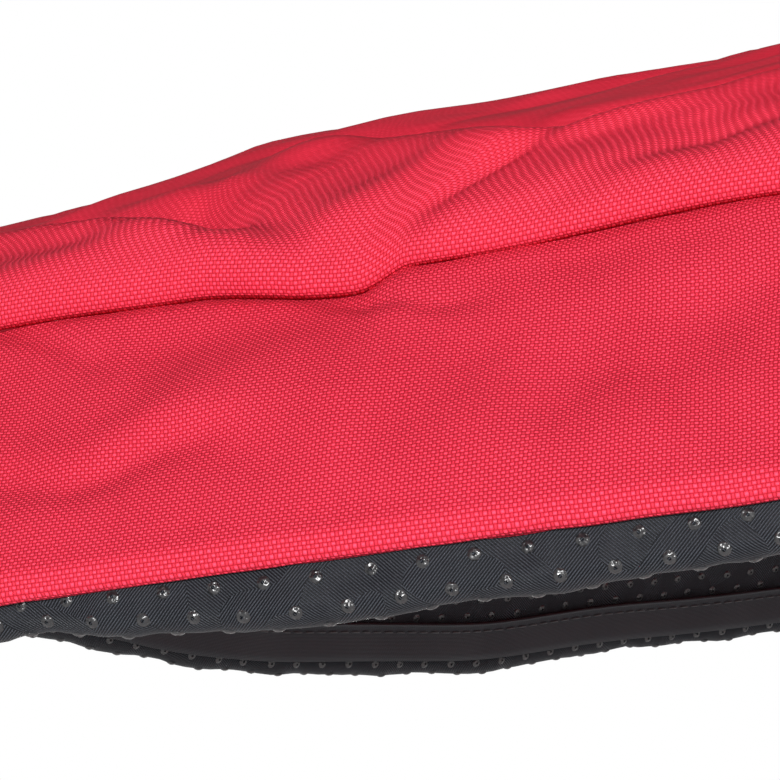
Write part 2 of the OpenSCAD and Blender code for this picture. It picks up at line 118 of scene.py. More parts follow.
def smooth(x, low, high):
    x = np.clip((x - low) / (high - low), 0, 1)
    return x * x * (3 - 2 * x)


# smooth random field over a surface, from a few waves with a set direction
def buckles(x, y, seed, size, stretch=1.0, turn=0.0, count=14):
    dice = np.random.RandomState(seed)
    c, s = math.cos(turn), math.sin(turn)
    a, b = (c * x + s * y) / (size * stretch), (c * y - s * x) / size
    total = 0
    for k in range(count):
        angle, scale = dice.uniform(0, math.pi), dice.uniform(0.7, 1.9)
        total = total + np.sin(2 * math.pi * scale * (math.cos(angle) * a + math.sin(angle) * b)
                               + dice.uniform(0, 6.3)) / scale
    return total / math.sqrt(count)


# ridge (or groove, with a negative height) along a line of points on the cloth
def fold(s, v, line, width, height):
    best = np.full(np.broadcast(s, v).shape, 1e9)
    along = np.zeros_like(best)
    total = len(line) - 1
    for k in range(total):
        (ax, ay), (bx, by) = line[k], line[k + 1]
        dx, dy = bx - ax, by - ay
        length = math.hypot(dx, dy)
        w = np.clip(((s - ax) * dx + (v - ay) * dy) / length ** 2, 0, 1)
        px, py = s - ax - w * dx, v - ay - w * dy
        d = np.hypot(px, py)
        nearer = d < best
        along = np.where(nearer, (k + w) / total, along)
        best = np.where(nearer, d, best)
    ends = np.sin(np.clip(along, 0.02, 0.98) * math.pi) ** 0.5
    return height * ends * np.exp(-(best / width) ** 2)


# closed sheet from a grid of points on its outer face
def normalsOf(p, ring):
    du = np.gradient(p, axis=0)
    if ring:
        du[0] = p[1] - p[-2]
        du[-1] = du[0]
    dv = np.gradient(p, axis=1)
    n = np.cross(du, dv)
    return n / np.maximum(np.linalg.norm(n, axis=-1, keepdims=True), 1e-12)


def metricUv(p, refColumn=0):
    du = np.linalg.norm(np.diff(p, axis=0), axis=2)
    dv = np.linalg.norm(np.diff(p, axis=1), axis=2)
    u = np.vstack([np.zeros((1, p.shape[1])), np.cumsum(du, axis=0)])
    v = np.hstack([np.zeros((p.shape[0], 1)), np.cumsum(dv, axis=1)])
    return u - u[refColumn], v


def clothMesh(name, p, thick, ring=False, refColumn=0, flip=False):
    n = normalsOf(p, ring)
    if flip:
        n = -n
    nu, nv = p.shape[:2]
    u, v = metricUv(p, refColumn)
    columns = nu - 1 if ring else nu
    outer, inner = p[:columns], (p - n * thick)[:columns]
    verts = np.concatenate([outer.reshape(-1, 3), inner.reshape(-1, 3)])
    i, j = np.meshgrid(np.arange(nu - 1), np.arange(nv - 1), indexing="ij")
    k = (i + 1) % columns
    quads = np.stack([i * nv + j, k * nv + j, k * nv + j + 1, i * nv + j + 1], -1).reshape(-1, 4)
    cu = np.stack([u[i, j], u[i + 1, j], u[i + 1, j + 1], u[i, j + 1]], -1).reshape(-1, 4)
    cv = np.stack([v[i, j], v[i + 1, j], v[i + 1, j + 1], v[i, j + 1]], -1).reshape(-1, 4)
    half = columns * nv
    faces, us, vs = [quads, quads[:, ::-1] + half], [cu, cu[:, ::-1]], [cv, cv[:, ::-1]]

    def rimFaces(a, b, ua, ub, va, vb, turned):
        strip = np.stack([a, b, b + half, a + half], -1)
        su, sv = np.stack([ua, ub, ub, ua], -1), np.stack([va, vb, vb + thick, va + thick], -1)
        faces.append(strip[:, ::-1] if turned else strip)
        us.append(su[:, ::-1] if turned else su)
        vs.append(sv[:, ::-1] if turned else sv)

    a = np.arange(nu - 1)
    b = (a + 1) % columns
    rimFaces(b * nv, a * nv, u[a + 1, 0], u[a, 0], v[a + 1, 0], v[a, 0], False)
    rimFaces(a * nv + nv - 1, b * nv + nv - 1, u[a, -1], u[a + 1, -1], v[a, -1], v[a + 1, -1], False)
    if not ring:
        c = np.arange(nv - 1)
        rimFaces(c, c + 1, u[0, c], u[0, c + 1], v[0, c], v[0, c + 1], False)
        last = (nu - 1) * nv
        rimFaces(last + c + 1, last + c, u[-1, c + 1], u[-1, c], v[-1, c + 1], v[-1, c], False)
    faces, us, vs = np.concatenate(faces), np.concatenate(us), np.concatenate(vs)
    if flip:
        faces, us, vs = faces[:, ::-1], us[:, ::-1], vs[:, ::-1]
    return meshPiece(name, verts, faces, us, vs)


def meshPiece(name, verts, faces, us=None, vs=None):
    mesh = bpy.data.meshes.new(name)
    size = faces.shape[1]
    mesh.vertices.add(len(verts))
    mesh.vertices.foreach_set("co", np.ascontiguousarray(verts, np.float32).ravel())
    mesh.loops.add(len(faces) * size)
    mesh.loops.foreach_set("vertex_index", np.ascontiguousarray(faces, np.int32).ravel())
    mesh.polygons.add(len(faces))
    mesh.polygons.foreach_set("loop_start", np.arange(0, len(faces) * size, size, dtype=np.int32))
    mesh.update(calc_edges=True)
    if us is not None:
        layer = mesh.uv_layers.new(name="cloth")
        layer.data.foreach_set("uv", np.stack([us, vs], -1).astype(np.float32).ravel())
    mesh.validate()
    mesh.polygons.foreach_set("use_smooth", np.ones(len(mesh.polygons), bool))
    piece = bpy.data.objects.new(name, mesh)
    scene.collection.objects.link(piece)
    return piece


def unit(v):
    return v / np.maximum(np.linalg.norm(v, axis=-1, keepdims=True), 1e-12)


# side directions carried along a path without twist
def carried(path, start=(0, 0, 1)):
    d = unit(np.gradient(path, axis=0))
    side, out = np.array(start, float), []
    for t in d:
        side = side - t * (t @ side)
        side = side / np.linalg.norm(side)
        out.append(side)
    side = np.array(out)
    return d, side, np.cross(d, side)


# solid of one outline carried along a path; outline is a list of (side, across)
def sweep(name, path, outline, start=(0, 0, 1), ring=False, sides=None):
    path = np.asarray(path, float)
    d, a, b = carried(path, start)
    if sides is not None:
        a = np.asarray(sides, float)
        b = np.cross(d, a)
    o = np.asarray(outline, float)
    n, m = len(path), len(o)
    verts = path[:, None] + o[None, :, :1] * a[:, None] + o[None, :, 1:] * b[:, None]
    lengths = np.concatenate([[0], np.cumsum(np.linalg.norm(np.diff(path, axis=0), axis=1))])
    ways = np.concatenate([[0], np.cumsum(np.linalg.norm(np.diff(np.vstack([o, o[:1]]), axis=0), axis=1))])
    i, j = np.meshgrid(np.arange(n - 1), np.arange(m), indexing="ij")
    k = (j + 1) % m
    quads = np.stack([i * m + j, i * m + k, (i + 1) * m + k, (i + 1) * m + j], -1).reshape(-1, 4)
    us = np.stack([lengths[i], lengths[i], lengths[i + 1], lengths[i + 1]], -1).reshape(-1, 4)
    vs = np.stack([ways[j], ways[j + 1], ways[j + 1], ways[j]], -1).reshape(-1, 4)
    piece = meshPiece(name, verts.reshape(-1, 3), quads, us, vs)
    if not ring:
        shell = bmesh.new()
        shell.from_mesh(piece.data)
        shell.verts.ensure_lookup_table()
        shell.faces.new([shell.verts[q] for q in range(m)][::-1])
        shell.faces.new([shell.verts[(n - 1) * m + q] for q in range(m)])
        bmesh.ops.recalc_face_normals(shell, faces=shell.faces)
        shell.to_mesh(piece.data)
        shell.free()
    return piece


def circle(r, count=14):
    turns = np.arange(count) * 2 * math.pi / count
    return np.stack([r * np.cos(turns), r * np.sin(turns)], -1)


def roundedBar(width, thick, corner=3):
    r = thick * 0.48
    out = []
    for cx, cy, first in ((width / 2 - r, thick / 2 - r, 0), (-width / 2 + r, thick / 2 - r, 90),
                          (-width / 2 + r, -thick / 2 + r, 180), (width / 2 - r, -thick / 2 + r, 270)):
        for k in range(corner + 1):
            a = math.radians(first + 90 * k / corner)
            out.append((cx + r * math.cos(a), cy + r * math.sin(a)))
    return out


# many small copies of one shape, joined into one piece
def scattered(name, shape, faces, origins, axes):
    origins, axes = np.asarray(origins, float), np.asarray(axes, float)
    verts = origins[:, None] + np.einsum("vk,nkd->nvd", shape, axes)
    count, size = len(origins), len(shape)
    every = np.asarray(faces)[None] + (np.arange(count) * size)[:, None, None]
    return meshPiece(name, verts.reshape(-1, 3), every.reshape(-1, every.shape[-1]))


# stitches lie along a line on a surface: short rounded bars with small gaps
def stitches(name, path, ups, pitch=0.0032, width=0.00055, share=0.72):
    path, ups = np.asarray(path, float), unit(np.asarray(ups, float))
    lengths = np.concatenate([[0], np.cumsum(np.linalg.norm(np.diff(path, axis=0), axis=1))])
    count = max(2, int(lengths[-1] / pitch))
    at = (np.arange(count) + 0.5) * lengths[-1] / count
    place = np.stack([np.interp(at, lengths, path[:, k]) for k in range(3)], -1)
    ahead = np.stack([np.interp(at + 1e-4, lengths, path[:, k]) for k in range(3)], -1)
    behind = np.stack([np.interp(at - 1e-4, lengths, path[:, k]) for k in range(3)], -1)
    up = unit(np.stack([np.interp(at, lengths, ups[:, k]) for k in range(3)], -1))
    way = unit(ahead - behind)
    side = unit(np.cross(up, way))
    up = np.cross(way, side)
    rings = [(-0.5, 0.25), (-0.42, 0.8), (-0.2, 1), (0.2, 1), (0.42, 0.8), (0.5, 0.25)]
    shape = [(x * pitch * share, r * width / 2 * math.cos(a), r * width / 2 * math.sin(a) + 0.3 * width * r)
             for x, r in rings for a in np.arange(6) * math.pi / 3]
    faces = [(i * 6 + j, i * 6 + (j + 1) % 6, (i + 1) * 6 + (j + 1) % 6, (i + 1) * 6 + j)
             for i in range(5) for j in range(6)]
    faces += [(3, 2, 1, 0), (5, 4, 3, 0), (30, 31, 32, 33), (30, 33, 34, 35)]
    return scattered(name, np.array(shape), faces, place, np.stack([way, side, up], 1))


class Wire:
    def __init__(self, tree, socket):
        self.tree, self.socket = tree, socket

    def math(self, operation, *others):
        node = self.tree.nodes.new("ShaderNodeMath")
        node.operation = operation
        for k, value in enumerate((self,) + others):
            if isinstance(value, Wire):
                self.tree.links.new(value.socket, node.inputs[k])
            else:
                node.inputs[k].default_value = value
        return Wire(self.tree, node.outputs[0])

    def flipped(self, operation, other):
        node = self.math(operation, self).socket.node
        for link in list(node.inputs[0].links):
            self.tree.links.remove(link)
        node.inputs[0].default_value = other
        return Wire(self.tree, node.outputs[0])

    def __add__(self, other):
        return self.math("ADD", other)

    def __mul__(self, other):
        return self.math("MULTIPLY", other)

    def __sub__(self, other):
        return self.math("SUBTRACT", other)

    def __truediv__(self, other):
        return self.math("DIVIDE", other)

    def __pow__(self, other):
        return self.math("POWER", other)

    def __gt__(self, other):
        return self.math("GREATER_THAN", other)

    __radd__, __rmul__ = __add__, __mul__

    def __rsub__(self, other):
        return self.flipped("SUBTRACT", other)

    def __rtruediv__(self, other):
        return self.flipped("DIVIDE", other)


class Wiring:
    def __init__(self, tree):
        self.tree = tree

    def node(self, kind, settings, sockets, out=0):
        node = self.tree.nodes.new("ShaderNode" + kind)
        for key, value in settings.items():
            if key == "stops":
                ramp = node.color_ramp
                while len(ramp.elements) < len(value):
                    ramp.elements.new(0.5)
                for element, (place, colour) in zip(ramp.elements, value):
                    element.position, element.color = place, colour
            else:
                setattr(node, key, value)
        for key, value in sockets.items():
            socket = node.inputs[key]
            if isinstance(value, Wire):
                self.tree.links.new(value.socket, socket)
            else:
                socket.default_value = value
        return Wire(self.tree, node.outputs[out])


class Finish(Wiring):
    def __init__(self, name, **shader):
        self.material = bpy.data.materials.new(name)
        self.material.use_nodes = True
        super().__init__(self.material.node_tree)
        self.shader = self.tree.nodes["Principled BSDF"]
        for socket, value in shader.items():
            self.shader.inputs[socket.replace("_", " ")].default_value = value

    def feed(self, socket, wire):
        self.tree.links.new(wire.socket, self.shader.inputs[socket])

    def uv(self):
        place = self.node("UVMap", {"uv_map": "cloth"}, {})
        split = self.node("SeparateXYZ", {}, {0: place})
        return place, split, Wire(self.tree, split.socket.node.outputs[1])

    def object(self):
        return self.node("TexCoord", {}, {}, out=3)

    def noise(self, place, scale, detail=3.0, rough=0.55):
        return self.node("TexNoise", {}, {"Vector": place, "Scale": scale, "Detail": detail,
                                          "Roughness": rough}, out=0)

    def tint(self, dark, light, factor):
        return self.node("Mix", {"data_type": "RGBA"}, {0: factor, 6: (*dark, 1), 7: (*light, 1)}, out=2)

    def bump(self, height, strength, distance, below=None):
        sockets = {"Height": height, "Strength": strength, "Distance": distance}
        if below is not None:
            sockets["Normal"] = below
        return self.node("Bump", {}, sockets)


# plain weave: a chequer of small cushions, each longer the way its own thread runs
def weave(f, x, y, pitchX, pitchY):
    a, b = x * (1 / pitchX), y * (1 / pitchY)
    sa, sb = (a * math.pi).math("SINE"), (b * math.pi).math("SINE")
    over = (sa * sb) > 0.0
    ha, hb = sa.math("ABSOLUTE"), sb.math("ABSOLUTE")
    first, second = (ha ** 0.3) * (hb ** 0.9), (ha ** 0.9) * (hb ** 0.3)
    height = over * first + (1 - over) * second
    threadA = f.node("TexWhiteNoise", {"noise_dimensions": "1D"}, {"W": a.math("FLOOR")})
    threadB = f.node("TexWhiteNoise", {"noise_dimensions": "1D"}, {"W": b.math("FLOOR") + 57.3})
    tone = over * threadA + (1 - over) * threadB
    return height, over, tone


clothLook = {
    "redDark": (0.30, 0.001, 0.006),
    "redLight": (1.0, 0.060, 0.118),
    "blackDark": (0.001, 0.0012, 0.0016),
    "blackLight": (0.062, 0.067, 0.080),
    "redPitch": 0.00073,
    "blackPitch": 0.00046,
    "roughness": 0.58,
}


def wovenFinish(name, dark, light, pitch, depth, sheen, rough, gloss, cross=0.5, slub=0.12, twill=0, fade=0):
    f = Finish(name, Roughness=rough, Sheen_Weight=sheen, Sheen_Roughness=0.45, Specular_IOR_Level=gloss)
    place, x, y = f.uv()
    height, over, tone = weave(f, x, y, pitch, pitch)
    broad = f.noise(place, 38.0, 3.0)
    fine = f.noise(place, 1500.0, 2.0)
    if twill:
        zone = f.noise(place, 85.0, 0.0) > 0.5
        lean = (zone * 2 - 1) * y + x
        rib = (lean * (math.pi / twill)).math("SINE").math("ABSOLUTE") ** 2.4
        height = rib * (height * 0.5 + 0.5) * (0.75 + zone * 0.25)
        over = over * 0.0 + 1
    lit = height * (over * (1 - cross) + cross)
    if fade:
        # From 15 to 60 mm up the cloth the weave's contrast fades and its colour sinks to one dark level:
        # painted shade on the upward-facing deck. The bump flattens with it.
        fadeAndPaintedShade = f.node("MapRange", {}, {"Value": y, "From Min": 0.015, "From Max": 0.06, "To Max": fade})
        lit = lit * (1 - fadeAndPaintedShade) + fadeAndPaintedShade * 0.22
        height = height * (1 - fadeAndPaintedShade) + fadeAndPaintedShade * 0.6
    shade = lit * 0.92 + tone * slub * lit + broad * 0.10 + fine * 0.08 - 0.06
    f.feed("Base Color", f.tint(dark, light, shade))
    wide = f.bump(broad, 0.12, 0.004)
    f.feed("Normal", f.bump(height + fine * 0.25, depth, 0.00025, wide))
    return f.material


redCloth = wovenFinish("deckCloth", clothLook["redDark"], clothLook["redLight"], clothLook["redPitch"],
                       0.7, 0.0, clothLook["roughness"], 0.10, 0.42)
# the deck panels' red cloth, whose weave fades and darkens up the deck as painted shade
deckCloth = wovenFinish("deckPanelCloth", clothLook["redDark"], clothLook["redLight"], clothLook["redPitch"],
                        0.6, 0.0, clothLook["roughness"], 0.10, 0.42, fade=0.85)
blackCloth = wovenFinish("gripCloth", clothLook["blackDark"], clothLook["blackLight"],
                         clothLook["blackPitch"], 1.0, 0.0, 0.40, 0.12, 0.12, 0.3, 0.00068)
tapeCloth = wovenFinish("bindingTape", (0.006, 0.0065, 0.009), (0.046, 0.05, 0.058), 0.0004, 0.6, 0.1,
                        0.62, 0.3, 0.7)


def webbingFinish():
    f = Finish("webbing", Roughness=0.55, Sheen_Weight=0.2, Specular_IOR_Level=0.35)
    place, x, y = f.uv()
    rib = (y * (math.pi / 0.0016)).math("SINE").math("ABSOLUTE")
    pick = (x * (math.pi / 0.0011) + (y * (1 / 0.0016)).math("FLOOR") * 1.57).math("SINE").math("ABSOLUTE")
    grain = f.noise(place, 900.0, 2.0)
    height = (rib ** 0.6) * (0.55 + pick * 0.45)
    f.feed("Base Color", f.tint((0.004, 0.004, 0.005), (0.045, 0.046, 0.05), height * 0.7 + grain * 0.3))
    f.feed("Normal", f.bump(height + grain * 0.2, 0.8, 0.0005))
    return f.material


def boxWebbingFinish():
    f = Finish("webbingFolded", Roughness=0.55, Sheen_Weight=0.2, Specular_IOR_Level=0.35)
    place = f.object()
    split = f.node("SeparateXYZ", {}, {0: place})
    z = Wire(f.tree, split.socket.node.outputs[2])
    y = Wire(f.tree, split.socket.node.outputs[1])
    rib = (y * (math.pi / 0.0016)).math("SINE").math("ABSOLUTE")
    pick = (z * (math.pi / 0.0011) + (y * (1 / 0.0016)).math("FLOOR") * 1.57).math("SINE").math("ABSOLUTE")
    grain = f.noise(place, 900.0, 2.0)
    height = (rib ** 0.6) * (0.55 + pick * 0.45)
    f.feed("Base Color", f.tint((0.004, 0.004, 0.005), (0.045, 0.046, 0.05), height * 0.7 + grain * 0.3))
    f.feed("Normal", f.bump(height + grain * 0.2, 0.7, 0.0005))
    return f.material


def plasticFinish(name, dark, light, rough, grainSize=1400.0, depth=0.12):
    f = Finish(name, Specular_IOR_Level=0.5)
    place = f.object()
    grain = f.noise(place, grainSize, 3.0)
    broad = f.noise(place, 60.0, 4.0)
    f.feed("Base Color", f.tint(dark, light, broad * 0.7 + grain * 0.3))
    f.feed("Roughness", grain * 0.12 + broad * 0.12 + (rough - 0.12))
    f.feed("Normal", f.bump(grain, depth, 0.0002))
    return f.material


def dotFinish():
    f = Finish("gripDot", Specular_IOR_Level=0.8, Roughness=0.32)
    place = f.object()
    lumps = f.node("TexVoronoi", {"feature": "SMOOTH_F1"}, {"Vector": place, "Scale": 1500.0})
    f.feed("Base Color", f.tint((0.008, 0.008, 0.009), (0.022, 0.022, 0.024), lumps))
    f.feed("Normal", f.bump(lumps, 0.8, 0.0005))
    return f.material


def metalFinish(name, colour, rough):
    f = Finish(name, Metallic=1.0)
    place = f.object()
    broad = f.noise(place, 120.0, 4.0)
    scratch = f.noise(f.node("Mapping", {}, {"Vector": place, "Scale": (300, 3000, 3000)}), 1.0, 2.0)
    f.feed("Base Color", f.tint(tuple(c * 0.72 for c in colour), colour, broad))
    f.feed("Roughness", broad * 0.16 + scratch * 0.10 + (rough - 0.1))
    f.feed("Normal", f.bump(scratch, 0.08, 0.0002))
    return f.material


def cordFinish():
    f = Finish("cordSheath", Roughness=0.6, Sheen_Weight=0.15, Specular_IOR_Level=0.3)
    x, y = f.uv()[1:]
    a, b = x * (1 / 0.0016) + y * (1 / 0.00196), x * (1 / 0.0016) - y * (1 / 0.00196)
    height, over, tone = weave(f, a, b, 1.0, 1.0)
    fleck = (tone > 0.86) * over
    f.feed("Base Color", f.tint((0.004, 0.004, 0.005), (0.07, 0.07, 0.075), height * 0.6 + fleck * 0.5))
    f.feed("Normal", f.bump(height, 0.8, 0.0005))
    return f.material


def threadFinish(name, dark, light):
    f = Finish(name, Roughness=0.5, Sheen_Weight=0.2)
    place = f.object()
    twist = f.noise(place, 2600.0, 2.0)
    f.feed("Base Color", f.tint(dark, light, twist))
    f.feed("Normal", f.bump(twist, 0.4, 0.0002))
    return f.material


webbing = webbingFinish()
foldedWebbing = boxWebbingFinish()
blackPlastic = plasticFinish("acetal", (0.008, 0.008, 0.009), (0.026, 0.026, 0.028), 0.42)
dotRubber = dotFinish()
tubeRubber = plasticFinish("gripRubber", (0.008, 0.008, 0.008), (0.03, 0.03, 0.03), 0.62, 1100.0, 0.3)
nickel = metalFinish("nickel", (0.80, 0.78, 0.74), 0.28)
wireSteel = metalFinish("springWire", (0.55, 0.55, 0.56), 0.32)
sheath = cordFinish()
blackThread = threadFinish("blackThread", (0.006, 0.006, 0.007), (0.05, 0.05, 0.055))
redThread = threadFinish("redThread", (0.30, 0.006, 0.015), (0.78, 0.05, 0.08))
print("finishes made")


def dress(piece, material, body, slotName, *replaced):
    piece.data.materials.clear()
    piece.data.materials.append(material)
    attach(piece, body)
    if replaced:
        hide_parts(*replaced)
    return piece


deckLook = {
    "thick": 0.0007,
    "rollRadius": 0.0028,   # the deck's edge rolls over into the seam
    "slack": 0.0028,        # size of the soft buckles all over
    "sag": 0.006,           # how far the wide slope hangs in between seam and tunnel
}


# folds that show from near by, as lines of (distance along the hem, distance up from the seam)
def viewFolds(s, v):
    x = s - viewS
    long = [(-0.13, 0.046), (-0.10, 0.042), (-0.075, 0.037), (-0.05, 0.030), (-0.03, 0.022), (-0.008, 0.013),
            (0.012, 0.004)]
    upper = [(-0.060, 0.071), (-0.045, 0.067), (-0.028, 0.062), (0.0, 0.052), (0.030, 0.0405),
             (0.045, 0.045), (0.062, 0.055)]
    total = fold(x, v + 0.005, long, 0.0048, 0.0030) + fold(x, v - 0.003, long, 0.0045, -0.0034)
    total += fold(x, v + 0.008, upper, 0.007, 0.0030) + fold(x, v - 0.002, upper, 0.0045, -0.0040)
    total += fold(x, v, [(-0.15, 0.105), (-0.10, 0.095), (-0.06, 0.085), (-0.02, 0.078)], 0.024, 0.0034)
    total += fold(x, v, [(0.046, 0.050), (0.036, 0.034), (0.034, 0.02), (0.031, 0.009), (0.026, -0.004)],
                  0.0042, -0.0021)
    total += fold(x, v, [(0.006, 0.0), (0.012, 0.012), (0.018, 0.026), (0.022, 0.036)], 0.010, 0.0022)
    total += fold(x, v, [(-0.012, 0.012), (-0.02, 0.02), (-0.037, 0.031), (-0.055, 0.052)], 0.004, -0.0022)
    total += fold(x, v, [(-0.06, 0.050), (-0.045, 0.042), (-0.028, 0.040), (-0.012, 0.034)], 0.006, 0.0020)
    total += fold(x, v, [(0.048, 0.002), (0.06, 0.008), (0.08, 0.018), (0.105, 0.030)], 0.006, -0.0016)
    total += fold(x, v, [(0.066, 0.034), (0.078, 0.022), (0.09, 0.010)], 0.005, -0.0012)
    total += fold(x, v, [(-0.07, 0.012), (-0.04, 0.010), (-0.02, 0.006)], 0.007, 0.0008)
    return total + 0.0004 * buckles(s, v, 14, 0.03, 1.4, 0.3) * smooth(v, 0.003, 0.012)


# the seam isn't quite level: it dips at the pucker and climbs away from it
def seamShift(s):
    x = s - viewS
    dip = -0.0036 * smooth(x, -0.014, 0.018) * (1 - smooth(x, 0.020, 0.031))
    rise = 0.0028 * smooth(x, 0.04, 0.10) * (1 - smooth(x, 0.14, 0.22))
    return dip + rise + 0.0010 * np.exp(-((x + 0.050) / 0.025) ** 2)


# how far the loose lower edge lies above or below its sewn line
def hemLift(s, side):
    if side > 0:
        return 0 * s
    return (0.0155 * np.exp(-((s - 0.218) / 0.042) ** 2)
            - 0.0073 * smooth(s, 0.25, 0.40) * (1 - smooth(s, 0.52, 0.70)))


def settle(s, side, z):
    return z + hemLift(s, side) * (1 - smooth(z, lipZ, seamZ))


def deckSurface(s, share):
    t = turnAt(s)[:, None]
    start = hemPoint(t[:, 0], np.full(len(s), bandIn + 0.0012), seamZ - 0.0004)
    end = np.stack([(tunnelX + 0.0006) * np.cos(t[:, 0]), (tunnelY + 0.0006) * np.sin(t[:, 0]),
                    np.full(len(s), 0.0)], -1)
    run = end[:, :2] - start[:, :2]
    length = np.linalg.norm(run, axis=1)
    way = run / length[:, None]
    q = share ** 2
    u = q[None, :] * length[:, None]
    z = seamZ + (deckTopZ - seamZ) * np.sqrt(np.sin(math.pi / 2 * q))[None, :] * np.ones((len(s), 1))
    p = np.stack([start[:, None, 0] + way[:, None, 0] * u, start[:, None, 1] + way[:, None, 1] * u, z], -1)
    v = np.hstack([np.zeros((len(s), 1)), np.cumsum(np.linalg.norm(np.diff(p, axis=1), axis=2), axis=1)])
    total = v[:, -1:]
    n = normalsOf(p, False)
    n = np.where((n[..., 2:] < 0), -n, n)
    # rolled edge at the seam
    r = deckLook["rollRadius"]
    roll = r * np.sqrt(np.clip(1 - ((v - 2.2 * r) / (2.2 * r)) ** 2, 0, 1)) * (v < 2.2 * r)
    roll += r * np.exp(-((v - 2.2 * r) / (4.5 * r)) ** 2) * (v >= 2.2 * r)
    middle = np.sin(np.clip(v / total, 0, 1) * math.pi)
    free = smooth(v, 0.004, 0.05) * smooth(total - v, 0.0, 0.05)
    sAll = s[:, None] + 0 * v
    slack = buckles(sAll, v, 11, 0.16, 0.6, 0.4) * 0.8 + buckles(sAll, v, 12, 0.07, 0.5, -0.5) * 0.35
    ridges = 1 - np.abs(buckles(sAll * 0.6, v * 0.5, 13, 0.11, 0.4, 0.2))
    half = float(alongHem(math.pi))
    held = smooth(half - np.abs(sAll), 0.0, 0.07)
    shape = deckLook["slack"] * free * held * (slack + 0.6 * ridges) - deckLook["sag"] * middle * free
    near = np.exp(-((sAll - viewS) / 0.13) ** 2) * np.exp(-(v / 0.12) ** 2)
    p = p + n * (roll + shape * (1 - near) + viewFolds(sAll, v))[..., None]
    p[..., 2] += seamShift(sAll) * (1 - smooth(v, 0.0, 0.03))
    return p


def viewColumn(s):
    return int(np.argmin(np.abs(s - viewS)))


def makeDeck():
    quarter = float(alongHem(math.radians(90)))
    full = float(alongHem(math.radians(180)))
    share = np.concatenate([np.linspace(0, 0.32, 30)[:-1], np.linspace(0.32, 1, 64)])
    frontS = stations(-quarter - 0.003, quarter + 0.003, 0.0052, 0.0017)
    p = deckSurface(frontS, share)
    under = 1 - smooth(quarter + 0.003 - np.abs(frontS), 0.002, 0.008)
    p = p - normalsOf(p, False) * np.sign(normalsOf(p, False)[..., 2:]) * 0.0010 * under[:, None, None]
    front = clothMesh("deckFrontPanel", p, deckLook["thick"], refColumn=viewColumn(frontS), flip=True)
    dress(front, deckCloth, "skirt", "deck_cloth", "deck_front_panel")
    rearS = np.linspace(quarter, 2 * full - quarter, 261)
    p = rearSurface(rearS, share, full)
    rear = clothMesh("deckRearPanel", p, deckLook["thick"], flip=True)
    dress(rear, deckCloth, "skirt", "deck_cloth", "deck_rear_panel")


# the rear panel runs past the stern, so its far half counts back from the other side
def rearSurface(s, share, full):
    port, star = s <= full, s > full
    return np.concatenate([deckSurface(s[port], share), deckSurface(s[star] - 2 * full, share)])


makeDeck()
print("deck made")

bandLook = {
    "thick": 0.0007,
    "lipFold": 0.0011,     # radius of the folded lower lip
    "puff": 0.0008,        # soft crown between lip and seam
    "waves": 0.0012,       # broad waves along the band
}


def bandSurface(s, mirrored):
    t = turnAt(s)
    r = bandLook["lipFold"]
    lip = [(0.0028, lipZ + 0.0045), (0.0026, lipZ + 0.0016)]
    lip += [(0.0012 + r * math.cos(a), lipZ + r + r * math.sin(a))
            for a in np.radians([-20, -55, -90, -125, -160, -185])]
    lip += [(0.00012, lipZ + 0.003)]
    top = np.linspace(0, 1, 44)
    slope = [(0.0002 + (bandIn - 0.0002) * w ** 1.04, lipZ + 0.004 + (seamZ - lipZ - 0.004) * w) for w in top]
    tuck = [(bandIn + 0.0012, seamZ + 0.0008), (bandIn + 0.0026, seamZ + 0.0012)]
    profile = np.array(lip + slope + tuck)
    inset = np.broadcast_to(profile[:, 0], (len(s), len(profile)))
    z = np.broadcast_to(profile[:, 1], (len(s), len(profile)))
    tt = np.repeat(t[:, None], len(profile), 1)
    p = hemPoint(tt, inset, settle(s[:, None], -1 if mirrored else 1, z))
    n = normalsOf(p, False)
    v = np.hstack([np.zeros((len(s), 1)), np.cumsum(np.linalg.norm(np.diff(p, axis=1), axis=2), axis=1)])
    lipLength = v[:, len(lip):len(lip) + 1]
    w = np.clip((v - lipLength) / (v[:, -3:-2] - lipLength), 0, 1)
    sAll = s[:, None] + 0 * v + (5.0 if mirrored else 0.0)
    crown = np.sin(w * math.pi)
    held = smooth(s, 0.0, 0.04) * smooth(float(alongHem(math.pi)) - s, 0.0, 0.04)
    puff = bandLook["puff"] * crown + bandLook["waves"] * crown * held[:, None] * (
        buckles(sAll, v, 21, 0.12, 0.8, 0.5) + 0.4 * buckles(sAll, v, 22, 0.05, 0.6, -0.6))
    away = n[..., :1] * outward(tt)[..., :1] + n[..., 1:2] * outward(tt)[..., 1:2]
    n = np.where(away < 0, -n, n)
    groove = -0.0016 * np.exp(-((1 - w) * 0.066 / 0.0022) ** 2)
    p = p + n * (puff + groove + (0 if mirrored else 1) * bandFolds(sAll, (1 - w) * 0.066))[..., None]
    if not mirrored:
        p[..., 2] += seamShift(sAll) * smooth(w, 0.6, 1.0)
    return p


